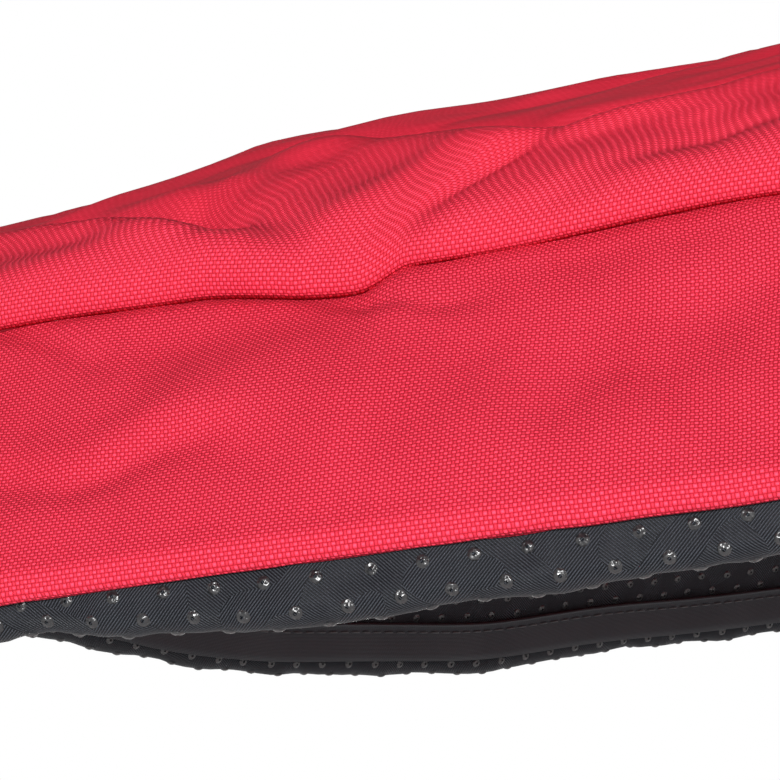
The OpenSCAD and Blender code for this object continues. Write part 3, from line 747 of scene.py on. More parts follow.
# the same for the band, by distance down from the seam
def bandFolds(s, y):
    x = s - viewS
    total = fold(x, y, [(0.010, 0.002), (0.019, 0.005), (0.026, 0.009), (0.037, 0.013), (0.046, 0.014)],
                 0.0026, -0.0015)
    total += fold(x, y + 0.004, [(0.016, 0.010), (0.026, 0.014), (0.040, 0.018)], 0.004, 0.0010)
    total += fold(x, y, [(-0.075, -0.002), (-0.057, 0.002), (-0.045, 0.005), (-0.035, 0.012),
                         (-0.028, 0.018)], 0.003, -0.0014)
    total += fold(x, y, [(-0.07, 0.042), (-0.043, 0.0435), (-0.029, 0.047), (-0.021, 0.045), (-0.011, 0.040),
                         (-0.002, 0.040), (0.008, 0.049)], 0.0042, -0.0013)
    total += fold(x, y + 0.007, [(-0.05, 0.042), (-0.029, 0.046), (-0.011, 0.039), (0.004, 0.040)],
                  0.005, 0.0008)
    total += fold(x, y, [(-0.035, 0.010), (-0.015, 0.013), (0.005, 0.010)], 0.009, -0.0015)
    total += fold(x, y, [(0.052, 0.004), (0.07, 0.006), (0.10, 0.007)], 0.006, -0.0012)
    total += fold(x, y, [(0.052, 0.030), (0.062, 0.036), (0.07, 0.044)], 0.008, -0.0010)
    total += fold(x, y, [(0.024, 0.060), (0.030, 0.045), (0.028, 0.030)], 0.006, -0.0007)
    return total + 0.0003 * buckles(s, y, 24, 0.028, 1.2, 0.7)


def makeBands():
    full = float(alongHem(math.radians(180)))
    for side, name in ((1, "Left"), (-1, "Right")):
        fine = 0.0018 if side > 0 else 0.006
        s = stations(-0.0009, full + 0.0009, 0.006, fine)
        p = bandSurface(s, side < 0)
        column = viewColumn(s)
        if side < 0:
            p = p * np.array([1, -1, 1])
        piece = clothMesh("sideBand" + name, p, bandLook["thick"], refColumn=column, flip=side > 0)
        dress(piece, redCloth, "skirt", "deck_cloth", "side_band_" + name.lower())


makeBands()
print("side bands made")

stripLook = {
    "thick": 0.0006,
    "gather": 0.00055,      # depth of the small gathers on the cord
    "lift": 0.0030,         # how far the roll rides up towards the bow of the view
    "dotRow": 0.0092,
    "dotColumn": 0.0046,
    "dotRadius": 0.00118,
    "dotHigh": 0.00044,
}
cordRadius = 0.0025
stripIn = 0.0031
rollRadius = 0.0039
rollIn, rollZ = stripIn + rollRadius, rollRadius + 0.0009
facingZ = seamZ - 0.014
facingIn = 0.0349


def stripProfile():
    outer = [(stripIn, z) for z in np.linspace(lipZ + 0.003, rollZ, 8)]
    roll = [(rollIn + rollRadius * math.cos(a), rollZ + rollRadius * math.sin(a))
            for a in np.radians(np.linspace(180, 360, 17)[1:])]
    turn = (rollIn + rollRadius + 0.002, lipZ + 0.002)
    rise = [(roll[-1][0] + (turn[0] - roll[-1][0]) * w, rollZ + (turn[1] - rollZ) * w)
            for w in np.linspace(0, 1, 6)[1:]]
    facing = [(turn[0] + (facingIn - turn[0]) * w, turn[1] + (facingZ - turn[1]) * w)
              for w in np.linspace(0, 1, 26)[1:]]
    return np.array(outer + roll + rise + facing)


# gathers ripple the rolled edge; the ripple fades up the facing
def stripSurface(s, side):
    profile = stripProfile()
    t = turnAt(s)
    way = np.concatenate([[0], np.cumsum(np.linalg.norm(np.diff(profile, axis=0), axis=1))])
    normal = np.gradient(profile, axis=0)
    normal = np.stack([normal[:, 1], -normal[:, 0]], -1)
    normal /= np.linalg.norm(normal, axis=1, keepdims=True)   # towards the cord side is negative
    x = s[:, None] + (3.0 if side < 0 else 0.0)
    v = way[None, :]
    ripple = buckles(x, 0 * v, 31, 0.022, 1, 0, 9) * 0.5 + buckles(x, v, 32, 0.045, 0.8, 0.5) * 0.9
    ripple = ripple + buckles(x, v, 35, 0.011, 0.7, 0.6) * 0.3
    free = smooth(v, 0.001, 0.006) * (1 - 0.75 * smooth(v, 0.024, 0.05)) * smooth(way[-1] - v, 0, 0.012)
    depth = stripLook["gather"] * ripple * free
    inset = profile[None, :, 0] + normal[None, :, 0] * depth
    z = profile[None, :, 1] + normal[None, :, 1] * depth
    low = 1 - smooth(z, 0.003, lipZ + 0.002)
    ride = rideUp(s, side)[:, None]
    z = z + ride * np.where(v < way[24], low, 1 - smooth(z, rollZ, 0.03))
    tt = np.repeat(t[:, None], len(profile), 1)
    p = hemPoint(tt, inset, settle(s[:, None], side, z))
    return p, way


def rideUp(s, side):
    if side < 0:
        return 0.0012 * (1 + buckles(s, 0 * s, 33, 0.14))
    x = s - viewS
    near = smooth(-x, -0.0, 0.05) * smooth(x, -0.16, -0.08)
    sag = smooth(x, -0.015, 0.025) * (1 - smooth(x, 0.06, 0.11))
    return stripLook["lift"] * near - 0.0024 * sag + 0.0006 * (1 + buckles(s, 0 * s, 34, 0.14)) * (1 - near)


def dotDome():
    r, h = stripLook["dotRadius"], stripLook["dotHigh"]
    rings = [(1.12, -0.4), (1.0, 0.12), (0.85, 0.38), (0.60, 0.68), (0.30, 0.92)]
    sides = 10
    shape = [(r * a * math.cos(q), r * a * math.sin(q), h * b)
             for a, b in rings for q in np.arange(sides) * 2 * math.pi / sides]
    faces = [(i * sides + j, i * sides + (j + 1) % sides,
              (i + 1) * sides + (j + 1) % sides, (i + 1) * sides + j)
             for i in range(len(rings) - 1) for j in range(sides)]
    shape.append((0, 0, h * 1.0))
    last, top = (len(rings) - 1) * sides, len(shape) - 1
    faces += [(last + j, last + (j + 1) % sides, top, top) for j in range(sides)]
    return np.array(shape), faces


def makeStrips():
    full = float(alongHem(math.radians(180 - 4.2)))
    for side, name in ((1, "Left"), (-1, "Right")):
        s = stations(-0.0006, full, 0.0042, 0.0016 if side > 0 else 0.0042)
        p, way = stripSurface(s, side)
        flipY = np.array([1, side, 1])
        piece = clothMesh("gripStrip" + name, p * flipY, stripLook["thick"], refColumn=viewColumn(s),
                          flip=side > 0)
        dress(piece, blackCloth, "skirt", "grip_cloth", "grip_strip_" + name.lower())
        n = normalsOf(p, False)
        dice = np.random.RandomState(5 if side > 0 else 6)
        places, axes = [], []
        rows = np.arange(0.0052, way[-1] - 0.004, stripLook["dotColumn"])
        for k, v in enumerate(rows):
            offset = 0.5 * stripLook["dotRow"] * (k % 2)
            at = np.arange(0.004 + offset, full - 0.003, stripLook["dotRow"])
            at = at + dice.uniform(-0.0002, 0.0002, len(at))
            column = np.interp(at, s, np.arange(len(s)))
            row = float(np.interp(v, way, np.arange(len(way))))
            i, j = np.minimum(column.astype(int), len(s) - 2), min(int(row), len(way) - 2)
            fi, fj = (column - i)[:, None], row - j
            spot = (p[i, j] * (1 - fi) + p[i + 1, j] * fi) * (1 - fj)
            spot += (p[i, j + 1] * (1 - fi) + p[i + 1, j + 1] * fi) * fj
            up = n[i, j] if side > 0 else n[i, j]
            ahead = unit(p[i + 1, j] - p[i, j])
            up = -up
            spot, up, ahead = spot * flipY, up * flipY, ahead * flipY
            places.append(spot)
            axes.append(np.stack([ahead, np.cross(up, ahead), up], 1))
        shape, faces = dotDome()
        dots = scattered("gripDots" + name, shape, faces, np.concatenate(places), np.concatenate(axes))
        dress(dots, dotRubber, "skirt", "grip_cloth")


makeStrips()
print("grip strips and dots made")


bindingLook = {
    "thick": 0.0006,
    "ripple": 0.0004,
    "stitchPitch": 0.004,
}


def makeBinding():
    full = float(alongHem(math.radians(180 - 4.2)))
    s = np.linspace(-full, full, 640)
    t = turnAt(s)
    profile = np.array([(0.0129, rollZ - 0.0008), (0.0135, rollZ + 0.001), (0.0145, 0.0085), (0.0151, 0.012),
                        (0.0160, 0.0136), (0.0166, 0.0140), (0.0169, 0.0137)])
    tt = np.repeat(t[:, None], len(profile), 1)
    ripple = bindingLook["ripple"] * buckles(s, 0 * s, 41, 0.03)[:, None]
    ride = np.where(s > 0, rideUp(np.abs(s), 1), rideUp(np.abs(s), -1))[:, None] * 0.7
    z = profile[None, :, 1] + ride + 0 * ripple
    z = np.where(s[:, None] > 0, settle(np.abs(s)[:, None], 1, z), settle(np.abs(s)[:, None], -1, z))
    p = hemPoint(tt, profile[None, :, 0] + ripple, z)
    piece = clothMesh("hemBinding", p, bindingLook["thick"], flip=True)
    dress(piece, tapeCloth, "skirt", "black_tape", "hem_binding")
    line = p[:, 3]
    inward = -outward(t)
    ups = np.concatenate([inward, 0.4 * np.ones((len(s), 1))], 1)
    seam = stitches("hemBindingStitches", line + 0.0002 * unit(ups), ups, bindingLook["stitchPitch"])
    dress(seam, blackThread, "skirt", "black_tape")


makeBinding()
print("binding made")


def makeHemCord():
    turnOut = math.radians(180 - 4.2)
    full = float(alongHem(turnOut))
    s = np.linspace(0, full, 300)
    halves = []
    for side in (1, -1):
        halves.append(hemCordHalf(s, side, turnOut))
    path = np.concatenate([halves[0][::-1], halves[1][1:] * np.array([1, -1, 1])])
    cord = sweep("hemShockCord", path, circle(cordRadius, 14))
    dress(cord, sheath, "skirt", "shock_cord", "hem_shock_cord")


def hemCordHalf(s, side, turnOut):
    ring = hemPoint(turnAt(s), np.full(len(s), rollIn), settle(s, side, rollZ + 0.8 * rideUp(s, side)))
    exitOut = outward(np.array([turnOut]))[0]
    exitWay = np.array([-exitOut[1], exitOut[0], 0])
    corner = ring[-1] + 0.0042 * exitWay
    lane = 0.0035
    bend = corner[1] - lane
    a = np.radians(np.linspace(0, 90, 14))[:, None]
    curve = corner - bend * np.concatenate([1 - np.cos(a), np.sin(a), 0 * a], 1)
    tail = np.stack([np.linspace(-sternReach - 0.016, -sternReach - 0.084, 20), np.full(20, lane),
                     np.full(20, rollZ)], -1)
    curve[:, 2] = ring[-1, 2] + (rollZ - ring[-1, 2]) * np.linspace(0, 1, 14)
    return np.concatenate([ring, curve, tail])


makeHemCord()
print("hem cord made")

tunnelLook = {
    "thick": 0.0007,
    "slump": 0.006,
    "gather": 0.0016,
    "gatherCount": 62,
}


def ovalPoint(t, grow, z):
    return np.stack([(tunnelX + grow) * np.cos(t), (tunnelY + grow) * np.sin(t), z], -1)


def gathers(t, amount, seed=51):
    dice = np.random.RandomState(seed)
    wave = 0
    for k in range(5):
        count = tunnelLook["gatherCount"] + dice.randint(-16, 17)
        wave = wave + np.cos(count * t + dice.uniform(0, 6.3)) / 5
    return amount * (wave - 0.6)


# held near the pieces that are sewn to it, slack elsewhere
def slumpAt(t, z):
    low, high = tunnelLow.z, casingLow.z
    w = (z - low) / (high - low)
    free = np.sin(np.clip(w, 0, 1) * math.pi) ** 0.8
    folds = buckles(t * 0.14, z, 52, 0.10, 2.6, 0.35) + 0.5 * buckles(t * 0.14, z, 53, 0.05, 2.2, -0.5)
    sewn = smooth(np.abs(np.cos(t)), 0.0, 0.16)
    return tunnelLook["slump"] * free * (0.55 * folds * sewn - 0.95)


def makeTunnel():
    low, high = tunnelLow.z, casingLow.z + 0.003
    for name, first, node in (("Front", -90, "tunnel_front_panel"), ("Rear", 90, "tunnel_rear_panel")):
        lap = 0.7 if name == "Front" else 0.0
        t = np.radians(np.linspace(first - lap, first + 180 + lap, 300))
        z = np.linspace(low, high, 110)
        tt, zz = np.meshgrid(t, z, indexing="ij")
        grow = slumpAt(tt, zz) + gathers(tt, tunnelLook["gather"]) * smooth(zz, high - 0.05, high)
        grow = np.minimum(grow, -0.0004)
        if name == "Front":
            grow = grow - 0.0009 * (1 - smooth(np.cos(tt), 0.0, 0.05))
        p = ovalPoint(tt, grow, zz)
        piece = clothMesh("tunnel" + name + "Panel", p, tunnelLook["thick"])
        dress(piece, redCloth, "skirt", "deck_cloth", node)


def makeCasing():
    t = np.radians(np.linspace(0, 360, 1001))
    out, low, high = 0.0012, casingLow.z, casingHigh.z
    thick = casingHigh.x - tunnelX + 0.0067
    a = np.linspace(0, math.pi, 9)
    outer = [(out, z) for z in np.linspace(low + 0.0004, high - 0.004, 12)]
    top = [(out - thick / 2 + thick / 2 * math.cos(q), high - 0.004 + 0.0038 * math.sin(q)) for q in a[1:]]
    inner = [(out - thick, z) for z in np.linspace(high - 0.004, low + 0.0004, 12)[1:]]
    profile = np.array(outer + top + inner)
    tt = np.repeat(t[:, None], len(profile), 1)
    mid = (low + high) / 2
    swell = 0.0006 * np.exp(-((profile[:, 1] - mid) / 0.004) ** 2)[None, :]
    ripple = gathers(tt, tunnelLook["gather"]) + 0.0006
    sign = np.where(profile[:, 0] > out - thick / 2, 1, -1)[None, :]
    p = ovalPoint(tt, profile[None, :, 0] + np.minimum(ripple * (sign > 0), 0) - 0.3 * ripple * (sign < 0)
                  + swell * sign, profile[None, :, 1] + 0 * tt)
    piece = clothMesh("tunnelTopCasing", p, 0.0007, ring=True)
    dress(piece, redCloth, "skirt", "deck_cloth", "tunnel_top_casing")
    for k, z in enumerate((low + 0.0030, low + 0.0052)):
        ring = np.radians(np.linspace(0, 360, 1001))
        line = ovalPoint(ring, out + np.minimum(gathers(ring, tunnelLook["gather"]) + 0.0006, 0) + 0.0001,
                         np.full(len(ring), z))
        ups = np.stack([np.cos(ring), np.sin(ring), 0 * ring], -1)
        seam = stitches("casingStitches%d" % (k + 1), line, ups, 0.0035)
        dress(seam, redThread, "skirt", "deck_cloth")


makeTunnel()
makeCasing()
print("waist tunnel made")


def makeBaseBinding():
    low, high = (v.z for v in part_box("tunnel_base_binding"))
    t = np.radians(np.linspace(0, 360, 601))
    profile = np.array([(0.0012, low + 0.0002), (0.0019, low + 0.0006), (0.0020, low + 0.006),
                        (0.0019, high - 0.0006), (0.0012, high - 0.0001)])
    tt = np.repeat(t[:, None], len(profile), 1)
    ripple = 0.00025 * np.abs(buckles(t, 0 * t, 61, 0.06))[:, None]
    p = ovalPoint(tt, profile[None, :, 0] + ripple, profile[None, :, 1] + 0 * tt)
    piece = clothMesh("tunnelBaseBinding", p, 0.0006, ring=True)
    dress(piece, tapeCloth, "skirt", "black_tape", "tunnel_base_binding")
    ups = np.stack([np.cos(t), np.sin(t), 0 * t], -1)
    for k, z in enumerate((low + 0.0018, high - 0.0018)):
        line = ovalPoint(t, 0.0024 + ripple[:, 0], np.full(len(t), z))
        seam = stitches("baseStitches%d" % (k + 1), line, ups)
        dress(seam, blackThread, "skirt", "black_tape")


makeBaseBinding()


def makeWaistCord():
    cordIn = (0.0015 - (cordRadius * 2 + 0.0032) / 2)
    turnR = 0.0041
    lane = 0.0035
    first = math.asin((lane + turnR) / (tunnelY + cordIn))
    t = np.linspace(first, 2 * math.pi - first, 300)
    runZ = casingHigh.z - 0.014
    ring = ovalPoint(t, cordIn, np.full(300, runZ))
    bendR = 0.009
    laneX = tunnelX + 0.0015 + 0.0026 + bendR
    a = np.radians(np.linspace(0, 90, 8))[1:, None]
    start = ring[0]
    turn = start + np.concatenate([turnR * (1 - np.cos(a)), -turnR * np.sin(a), 0 * a], 1)
    drop = np.concatenate([laneX - bendR + bendR * np.sin(a), 0 * a + lane,
                           runZ - bendR + bendR * np.cos(a)], 1)
    tail = np.stack([np.full(24, laneX), np.full(24, lane),
                     np.linspace(runZ - bendR - 0.003, runZ - 0.084, 24)], -1)
    front = np.concatenate([turn, drop, tail])
    path = np.concatenate([front[::-1], ring, front * np.array([1, -1, 1])])
    cord = sweep("waistShockCord", path, circle(cordRadius, 14), start=(1, 0, 0))
    dress(cord, sheath, "skirt", "shock_cord", "waist_shock_cord")


makeWaistCord()
print("waist cord made")

strapLook = {
    "width": 0.025,
    "thick": 0.0017,
    "turn": 40,
    "out": 0.0015 + 0.0003 + 0.0018 + 0.0021 + 0.0001,
    "lowZ": deckTopZ + 0.031,
    "drop": 0.060,
}


def strapPath():
    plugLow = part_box("buckle_plug_left")[0].z
    first, low, drop = strapLook["turn"], strapLook["lowZ"], strapLook["drop"]
    points = [(first, z) for z in np.linspace(plugLow + 0.007, low + drop + 0.002, 30)]
    points += [(90 - (90 - first) * math.cos(math.radians(a)), low + drop * (1 - math.sin(math.radians(a))))
               for a in np.linspace(0, 180, 90)]
    points += [(180 - first, z) for z in np.linspace(low + drop + 0.003, casingHigh.z - 0.010, 40)]
    return np.array(points)


def makeStraps():
    spots = strapPath()
    t, z = np.radians(spots[:, 0]), spots[:, 1]
    out = strapLook["out"]
    sag = np.sin(np.clip((spots[:, 0] - 40) / 100, 0, 1) * math.pi)
    n = unit(np.stack([(tunnelY + out) * np.cos(t), (tunnelX + out) * np.sin(t), 0 * t], -1))
    path = ovalPoint(t, out, z) + n * (0.004 * sag)[:, None]
    for side, name in ((1, "left"), (-1, "right")):
        way = path * np.array([1, side, 1])
        lean = n * np.array([1, side, 1])
        down = np.array([0, 0, 1])
        tilt = unit(lean + 0.18 * sag[:, None] * down)
        piece = sweep("strap" + name.capitalize(), way, [(y, x) for x, y in roundedBar(strapLook["width"],
                      strapLook["thick"])], start=(1, 0, 0), sides=np.array([unit(v - d * (d @ v)) for v, d in
                      zip(tilt, unit(np.gradient(way, axis=0)))]))
        piece.data.materials.append(webbing)
        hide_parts("strap_" + name)
        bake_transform(piece)


makeStraps()
print("straps made")


# moulded, plated and sewn pieces: the frame's own shape, welded and with its edges rounded
roundedLook = {
    "mouldedEdge": 0.0006,
    "platedEdge": 0.0003,
    "webbingEdge": 0.0005,
    "edgeAngle": 35,        # corners sharper than this are rounded, in degrees
    "stitchInset": 0.0032,  # box stitching in from a patch's outline
}


def roundOff(node, body, width, material, slotName):
    first, *rest = node.split("_")
    piece = bpy.data.objects.new(first + "".join(word.capitalize() for word in rest),
                                 bpy.data.meshes.new(node))
    scene.collection.objects.link(piece)
    shell = bmesh.new()
    shell.from_mesh(nodes[node].data)
    bmesh.ops.remove_doubles(shell, verts=shell.verts, dist=1e-6)
    bmesh.ops.recalc_face_normals(shell, faces=shell.faces)
    for face in shell.faces:
        face.smooth = True
    shell.to_mesh(piece.data)
    shell.free()
    bevel = piece.modifiers.new("softEdges", "BEVEL")
    bevel.width, bevel.segments, bevel.limit_method = width, 3, "ANGLE"
    bevel.angle_limit = math.radians(roundedLook["edgeAngle"])
    return dress(piece, material, body, slotName, node)


# stitching round the inside of a patch's outline, with a cross over its middle
def boxStitch(patch, body):
    bpy.context.view_layer.update()
    verts = np.array([v.co for v in patch.data.vertices])
    middle = verts.mean(0)
    spread = np.linalg.svd(verts - middle, full_matrices=False)[2]
    up = spread[2] * (1 if spread[2] @ (middle - np.array([0, 0, -0.1])) > 0 else -1)
    ways = [axis * (np.abs((verts - middle) @ axis).max() - roundedLook["stitchInset"])
            for axis in spread[:2]]
    corners = [middle + a * ways[0] + b * ways[1] for a, b in ((-1, -1), (1, -1), (1, 1), (-1, 1))]
    lines = [(0, 1), (1, 2), (2, 3), (3, 0), (0, 2), (1, 3)]
    for number, (a, b) in enumerate(lines):
        spots, ups = [], []
        for t in np.linspace(0, 1, 24):
            start = corners[a] * (1 - t) + corners[b] * t + up * 0.02
            hit, spot, normal, face = patch.ray_cast(Vector(start), Vector(-up))
            if hit and normal.dot(Vector(up)) > 0.5:
                spots.append(spot[:])
                ups.append(normal[:])
        if len(spots) > 3:
            line = stitches(patch.name + "Stitches" + str(number + 1), spots, ups, pitch=0.0026)
            dress(line, blackThread, body, "black_tape")


moulded = {
    "buckle_socket_left": "skirt", "buckle_socket_right": "skirt",
    "buckle_plug_left": "buckle_left", "buckle_plug_right": "buckle_right",
    "strap_slider_left": "adjuster_left", "strap_slider_right": "adjuster_right",
    "hem_lock_body": "hem_lock", "hem_lock_button": "hem_button",
    "waist_lock_body": "waist_lock", "waist_lock_button": "waist_button",
    "hem_cord_tips": "skirt", "waist_cord_tips": "skirt",
}
plated = {
    "hem_grommets": "skirt", "waist_grommets": "skirt", "zip_stops": "skirt",
    "zip_slider": "zip_car", "zip_pull": "zip_tab",
}
sewnOn = {
    "strap_tab_left": "skirt", "strap_tab_right": "skirt", "grab_loop": "release_loop",
    "strap_patch_left": "skirt", "strap_patch_right": "skirt", "grab_anchor": "skirt",
}
for node, body in moulded.items():
    roundOff(node, body, roundedLook["mouldedEdge"], blackPlastic, "black_plastic")
for node, body in plated.items():
    roundOff(node, body, roundedLook["platedEdge"], nickel, "nickel")
for node, body in sewnOn.items():
    piece = roundOff(node, body, roundedLook["webbingEdge"], foldedWebbing, "webbing")
    if "patch" in node or node == "grab_anchor":
        boxStitch(piece, body)
print("moulded, plated and sewn pieces made")


springLook = {
    "turns": 3.5,
    "wire": 0.0003,
    "travel": 0.0030,
}


# a coil of wire along the spring's box, at one fixed length; the real spring closes up as its button is
# pressed
def makeSpring(node, name, body, axis):
    low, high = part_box(node)
    middle, along = (low + high) / 2, Vector(axis)
    length = (high - low).dot(along)
    wire = springLook["wire"]
    a = np.linspace(0, 2 * math.pi * springLook["turns"], 130)
    rise = (np.linspace(0, 1, 130) - 0.5) * (length - 2 * wire)
    side = Vector((0, 1, 0))
    other = along.cross(side)
    r = (high.y - low.y) / 2 - wire
    path = (np.array(middle) + rise[:, None] * np.array(along)
            + r * np.cos(a)[:, None] * np.array(side) + r * np.sin(a)[:, None] * np.array(other))
    coil = sweep(name, path, circle(wire, 8), start=tuple(along))
    dress(coil, wireSteel, body, "spring_steel", node)
    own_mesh(coil)


makeSpring("hem_lock_spring", "hemLockSpring", "hem_lock", (0, 0, 1))
makeSpring("waist_lock_spring", "waistLockSpring", "waist_lock", (1, 0, 0))
print("moulded pieces and springs finished")


tubeLook = {
    "rings": 4,          # raised rings on each half
    "ringHeight": 0.0011,
    "middle": 0.0132,    # half the plain stretch that the webbing goes round
}


def makeGrabTube():
    low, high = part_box("grab_tube")
    centre = (low + high) / 2
    half, r = (high.y - low.y) / 2, (high.z - low.z) / 2
    core = r - 0.0021
    line = []
    rings, plain = tubeLook["rings"], tubeLook["middle"]
    for side in (-1, 1):
        for k in range(rings * 6 + 1):
            w = k / (rings * 6)
            y = side * (plain + (half - plain) * w)
            bead = tubeLook["ringHeight"] * abs(math.sin(w * rings * math.pi)) ** 0.6
            edge = min(1.0, (1 - w) / 0.06) if w > 0.94 else min(1.0, w / 0.03 + 0.55)
            line.append((y, (r - 0.0012 + bead) * (0.82 + 0.18 * math.sqrt(max(0, edge)))))
    line = sorted(line)
    middle = [(y, core) for y in (-0.0131, 0.0131)]
    line = sorted(line + middle)
    line = [(line[0][0], 0.0008)] + line + [(line[-1][0], 0.0008)]
    turns = np.arange(40) * 2 * math.pi / 40
    verts = [(centre.x + q * math.cos(a), y, centre.z + q * math.sin(a)) for y, q in line for a in turns]
    faces = [(i * 40 + j, i * 40 + (j + 1) % 40, (i + 1) * 40 + (j + 1) % 40, (i + 1) * 40 + j)
             for i in range(len(line) - 1) for j in range(40)]
    piece = meshPiece("grabTube", np.array(verts), np.array(faces))
    dress(piece, tubeRubber, "release_loop", "grip_rubber", "grab_tube")
    shell = bmesh.new()
    shell.from_mesh(piece.data)
    shell.verts.ensure_lookup_table()
    shell.faces.new([shell.verts[q] for q in range(40)])
    shell.faces.new([shell.verts[(len(line) - 1) * 40 + q] for q in range(40)][::-1])
    bmesh.ops.recalc_face_normals(shell, faces=shell.faces)
    shell.to_mesh(piece.data)
    shell.free()


makeGrabTube()

pocketLook = {
    "cell": 0.0030,
    "thread": 0.00075,
    "edge": 0.010,
}


def makePocket():
    x = pocketLow.x + 0.0006
    y0, y1, z0, z1 = pocketLow.y, pocketHigh.y, pocketLow.z, pocketHigh.z
    zipZ = z1 - 0.016
    cell = pocketLook["cell"]
    net = bmesh.new()
    rows, columns = int((z1 - z0) / (cell * 0.87)) + 2, int((y1 - y0) / cell) + 2
    grid = {}
    for i in range(rows):
        for j in range(columns):
            y = min(max(y0 + (j + 0.5 * (i % 2)) * cell, y0 + 0.001), y1 - 0.001)
            z = min(max(z0 + i * cell * 0.87, z0 + 0.001), z1 - 0.001)
            if abs(z - zipZ) > 0.006 or abs(y) > 0.0562:
                grid[i, j] = net.verts.new((x, y, z))
    for (i, j), v in grid.items():
        k = j + 1 if i % 2 else j
        for a, b in (((i, j + 1), (i + 1, k)), ((i + 1, k), (i + 1, k - 1))):
            if a in grid and b in grid:
                try:
                    net.faces.new([v, grid[a], grid[b]])
                except ValueError:
                    pass
    mesh = bpy.data.meshes.new("pocketNet")
    net.to_mesh(mesh)
    net.free()
    piece = bpy.data.objects.new("pocketNet", mesh)
    scene.collection.objects.link(piece)
    wires = piece.modifiers.new("threads", "WIREFRAME")
    wires.thickness = pocketLook["thread"]
    wires.use_even_offset = False
    piece.data.materials.append(blackThread)
    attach(piece, "skirt")
    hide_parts("pocket_mesh")
    edge = pocketLook["edge"]
    frameX = x + 0.0001
    loops = [((y0, z0), (y1, z1), edge),
             ((-0.0562 - 0.007, zipZ - 0.010), (0.0562 + 0.007, zipZ + 0.010), 0.006)]
    for k, ((a0, b0), (a1, b1), wide) in enumerate(loops):
        outer = [(a0, b0), (a1, b0), (a1, b1), (a0, b1)]
        inner = [(a0 + wide, b0 + wide), (a1 - wide, b0 + wide),
                 (a1 - wide, b1 - wide), (a0 + wide, b1 - wide)]
        line, across = [], []
        steps = 24
        for c in range(4):
            o0, o1 = np.array(outer[c]), np.array(outer[(c + 1) % 4])
            i0, i1 = np.array(inner[c]), np.array(inner[(c + 1) % 4])
            for w in np.linspace(0, 1, steps)[:-1]:
                line.append(o0 + (o1 - o0) * w)
                across.append(i0 + (i1 - i0) * w)
        line.append(line[0])
        across.append(across[0])
        line, across = np.array(line), np.array(across)
        shares = np.array([0, 0.08, 0.5, 0.92, 1.0])
        high = np.array([0.0002, 0.0007, 0.0008, 0.0007, 0.0002])
        p = np.zeros((len(line), 5, 3))
        p[..., 1:] = line[:, None] + (across - line)[:, None] * shares[None, :, None]
        waver = 0.0001 * buckles(np.arange(len(line)) * 0.005, 0, 71 + k, 0.03)
        p[..., 0] = frameX + high[None, :] + waver[:, None]
        tape = clothMesh("pocketTape%d" % (k + 1), p, 0.0006, ring=True)
        dress(tape, tapeCloth, "skirt", "black_tape")
        for m, share in enumerate((0.16, 0.84)):
            q = line + (across - line) * share
            path = np.column_stack([np.full(len(q), frameX + 0.0009), q])
            seam = stitches("pocketStitches%d%d" % (k + 1, m + 1), path, np.tile([1.0, 0, 0], (len(q), 1)))
            dress(seam, blackThread, "skirt", "black_tape")


makePocket()


gussetLook = {
    "thick": 0.0007,
    "corner": 0.006,
    "pinch": 0.0022,     # how far the side pulls in between front and back
}


def makeGusset():
    low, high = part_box("pocket_gusset")
    y0, y1, z0, z1 = low.y + 0.0006, high.y - 0.0006, low.z + 0.0006, high.z - 0.0006
    r = gussetLook["corner"]
    ring = []
    corners = ((y1 - r, z1 - r, 0), (y0 + r, z1 - r, 90), (y0 + r, z0 + r, 180), (y1 - r, z0 + r, 270))
    for cy, cz, first in corners:
        for a in np.radians(np.linspace(first, first + 90, 8)):
            ring.append((cy + r * math.cos(a), cz + r * math.sin(a)))
    ring.append(ring[0])
    ring = np.array(ring)
    fine = []
    for k in range(len(ring) - 1):
        count = max(1, int(np.linalg.norm(ring[k + 1] - ring[k]) / 0.003))
        fine += [ring[k] + (ring[k + 1] - ring[k]) * w / count for w in range(count)]
    fine = np.array(fine + [fine[0]])
    middle = np.array([(y0 + y1) / 2, (z0 + z1) / 2])
    backX = tunnelX * np.sqrt(np.clip(1 - (fine[:, 0] / tunnelY) ** 2, 0, 1)) + 0.0004
    frontX = np.full(len(fine), high.x + 0.0001)
    w = np.linspace(0, 1, 12)
    depth = backX[:, None] + (frontX - backX)[:, None] * w[None]
    uneven = 1 + 0.5 * buckles(np.arange(len(fine)) * 0.003, 0, 81, 0.03)[:, None]
    pinch = gussetLook["pinch"] * np.sin(w * math.pi)[None] * uneven
    inward = unit(middle - fine)
    p = np.zeros((len(fine), 12, 3))
    p[..., 0] = depth
    p[..., 1:] = fine[:, None] + inward[:, None] * pinch[..., None]
    piece = clothMesh("pocketGusset", p, gussetLook["thick"], ring=True)
    dress(piece, redCloth, "skirt", "deck_cloth", "pocket_gusset")


makeGusset()
print("pocket made")


zipLook = {
    "tapeThick": 0.0004,
    "pitch": 0.00125,    # one turn of the coil
    "wire": 0.00034,     # radius of the coil's thread
}


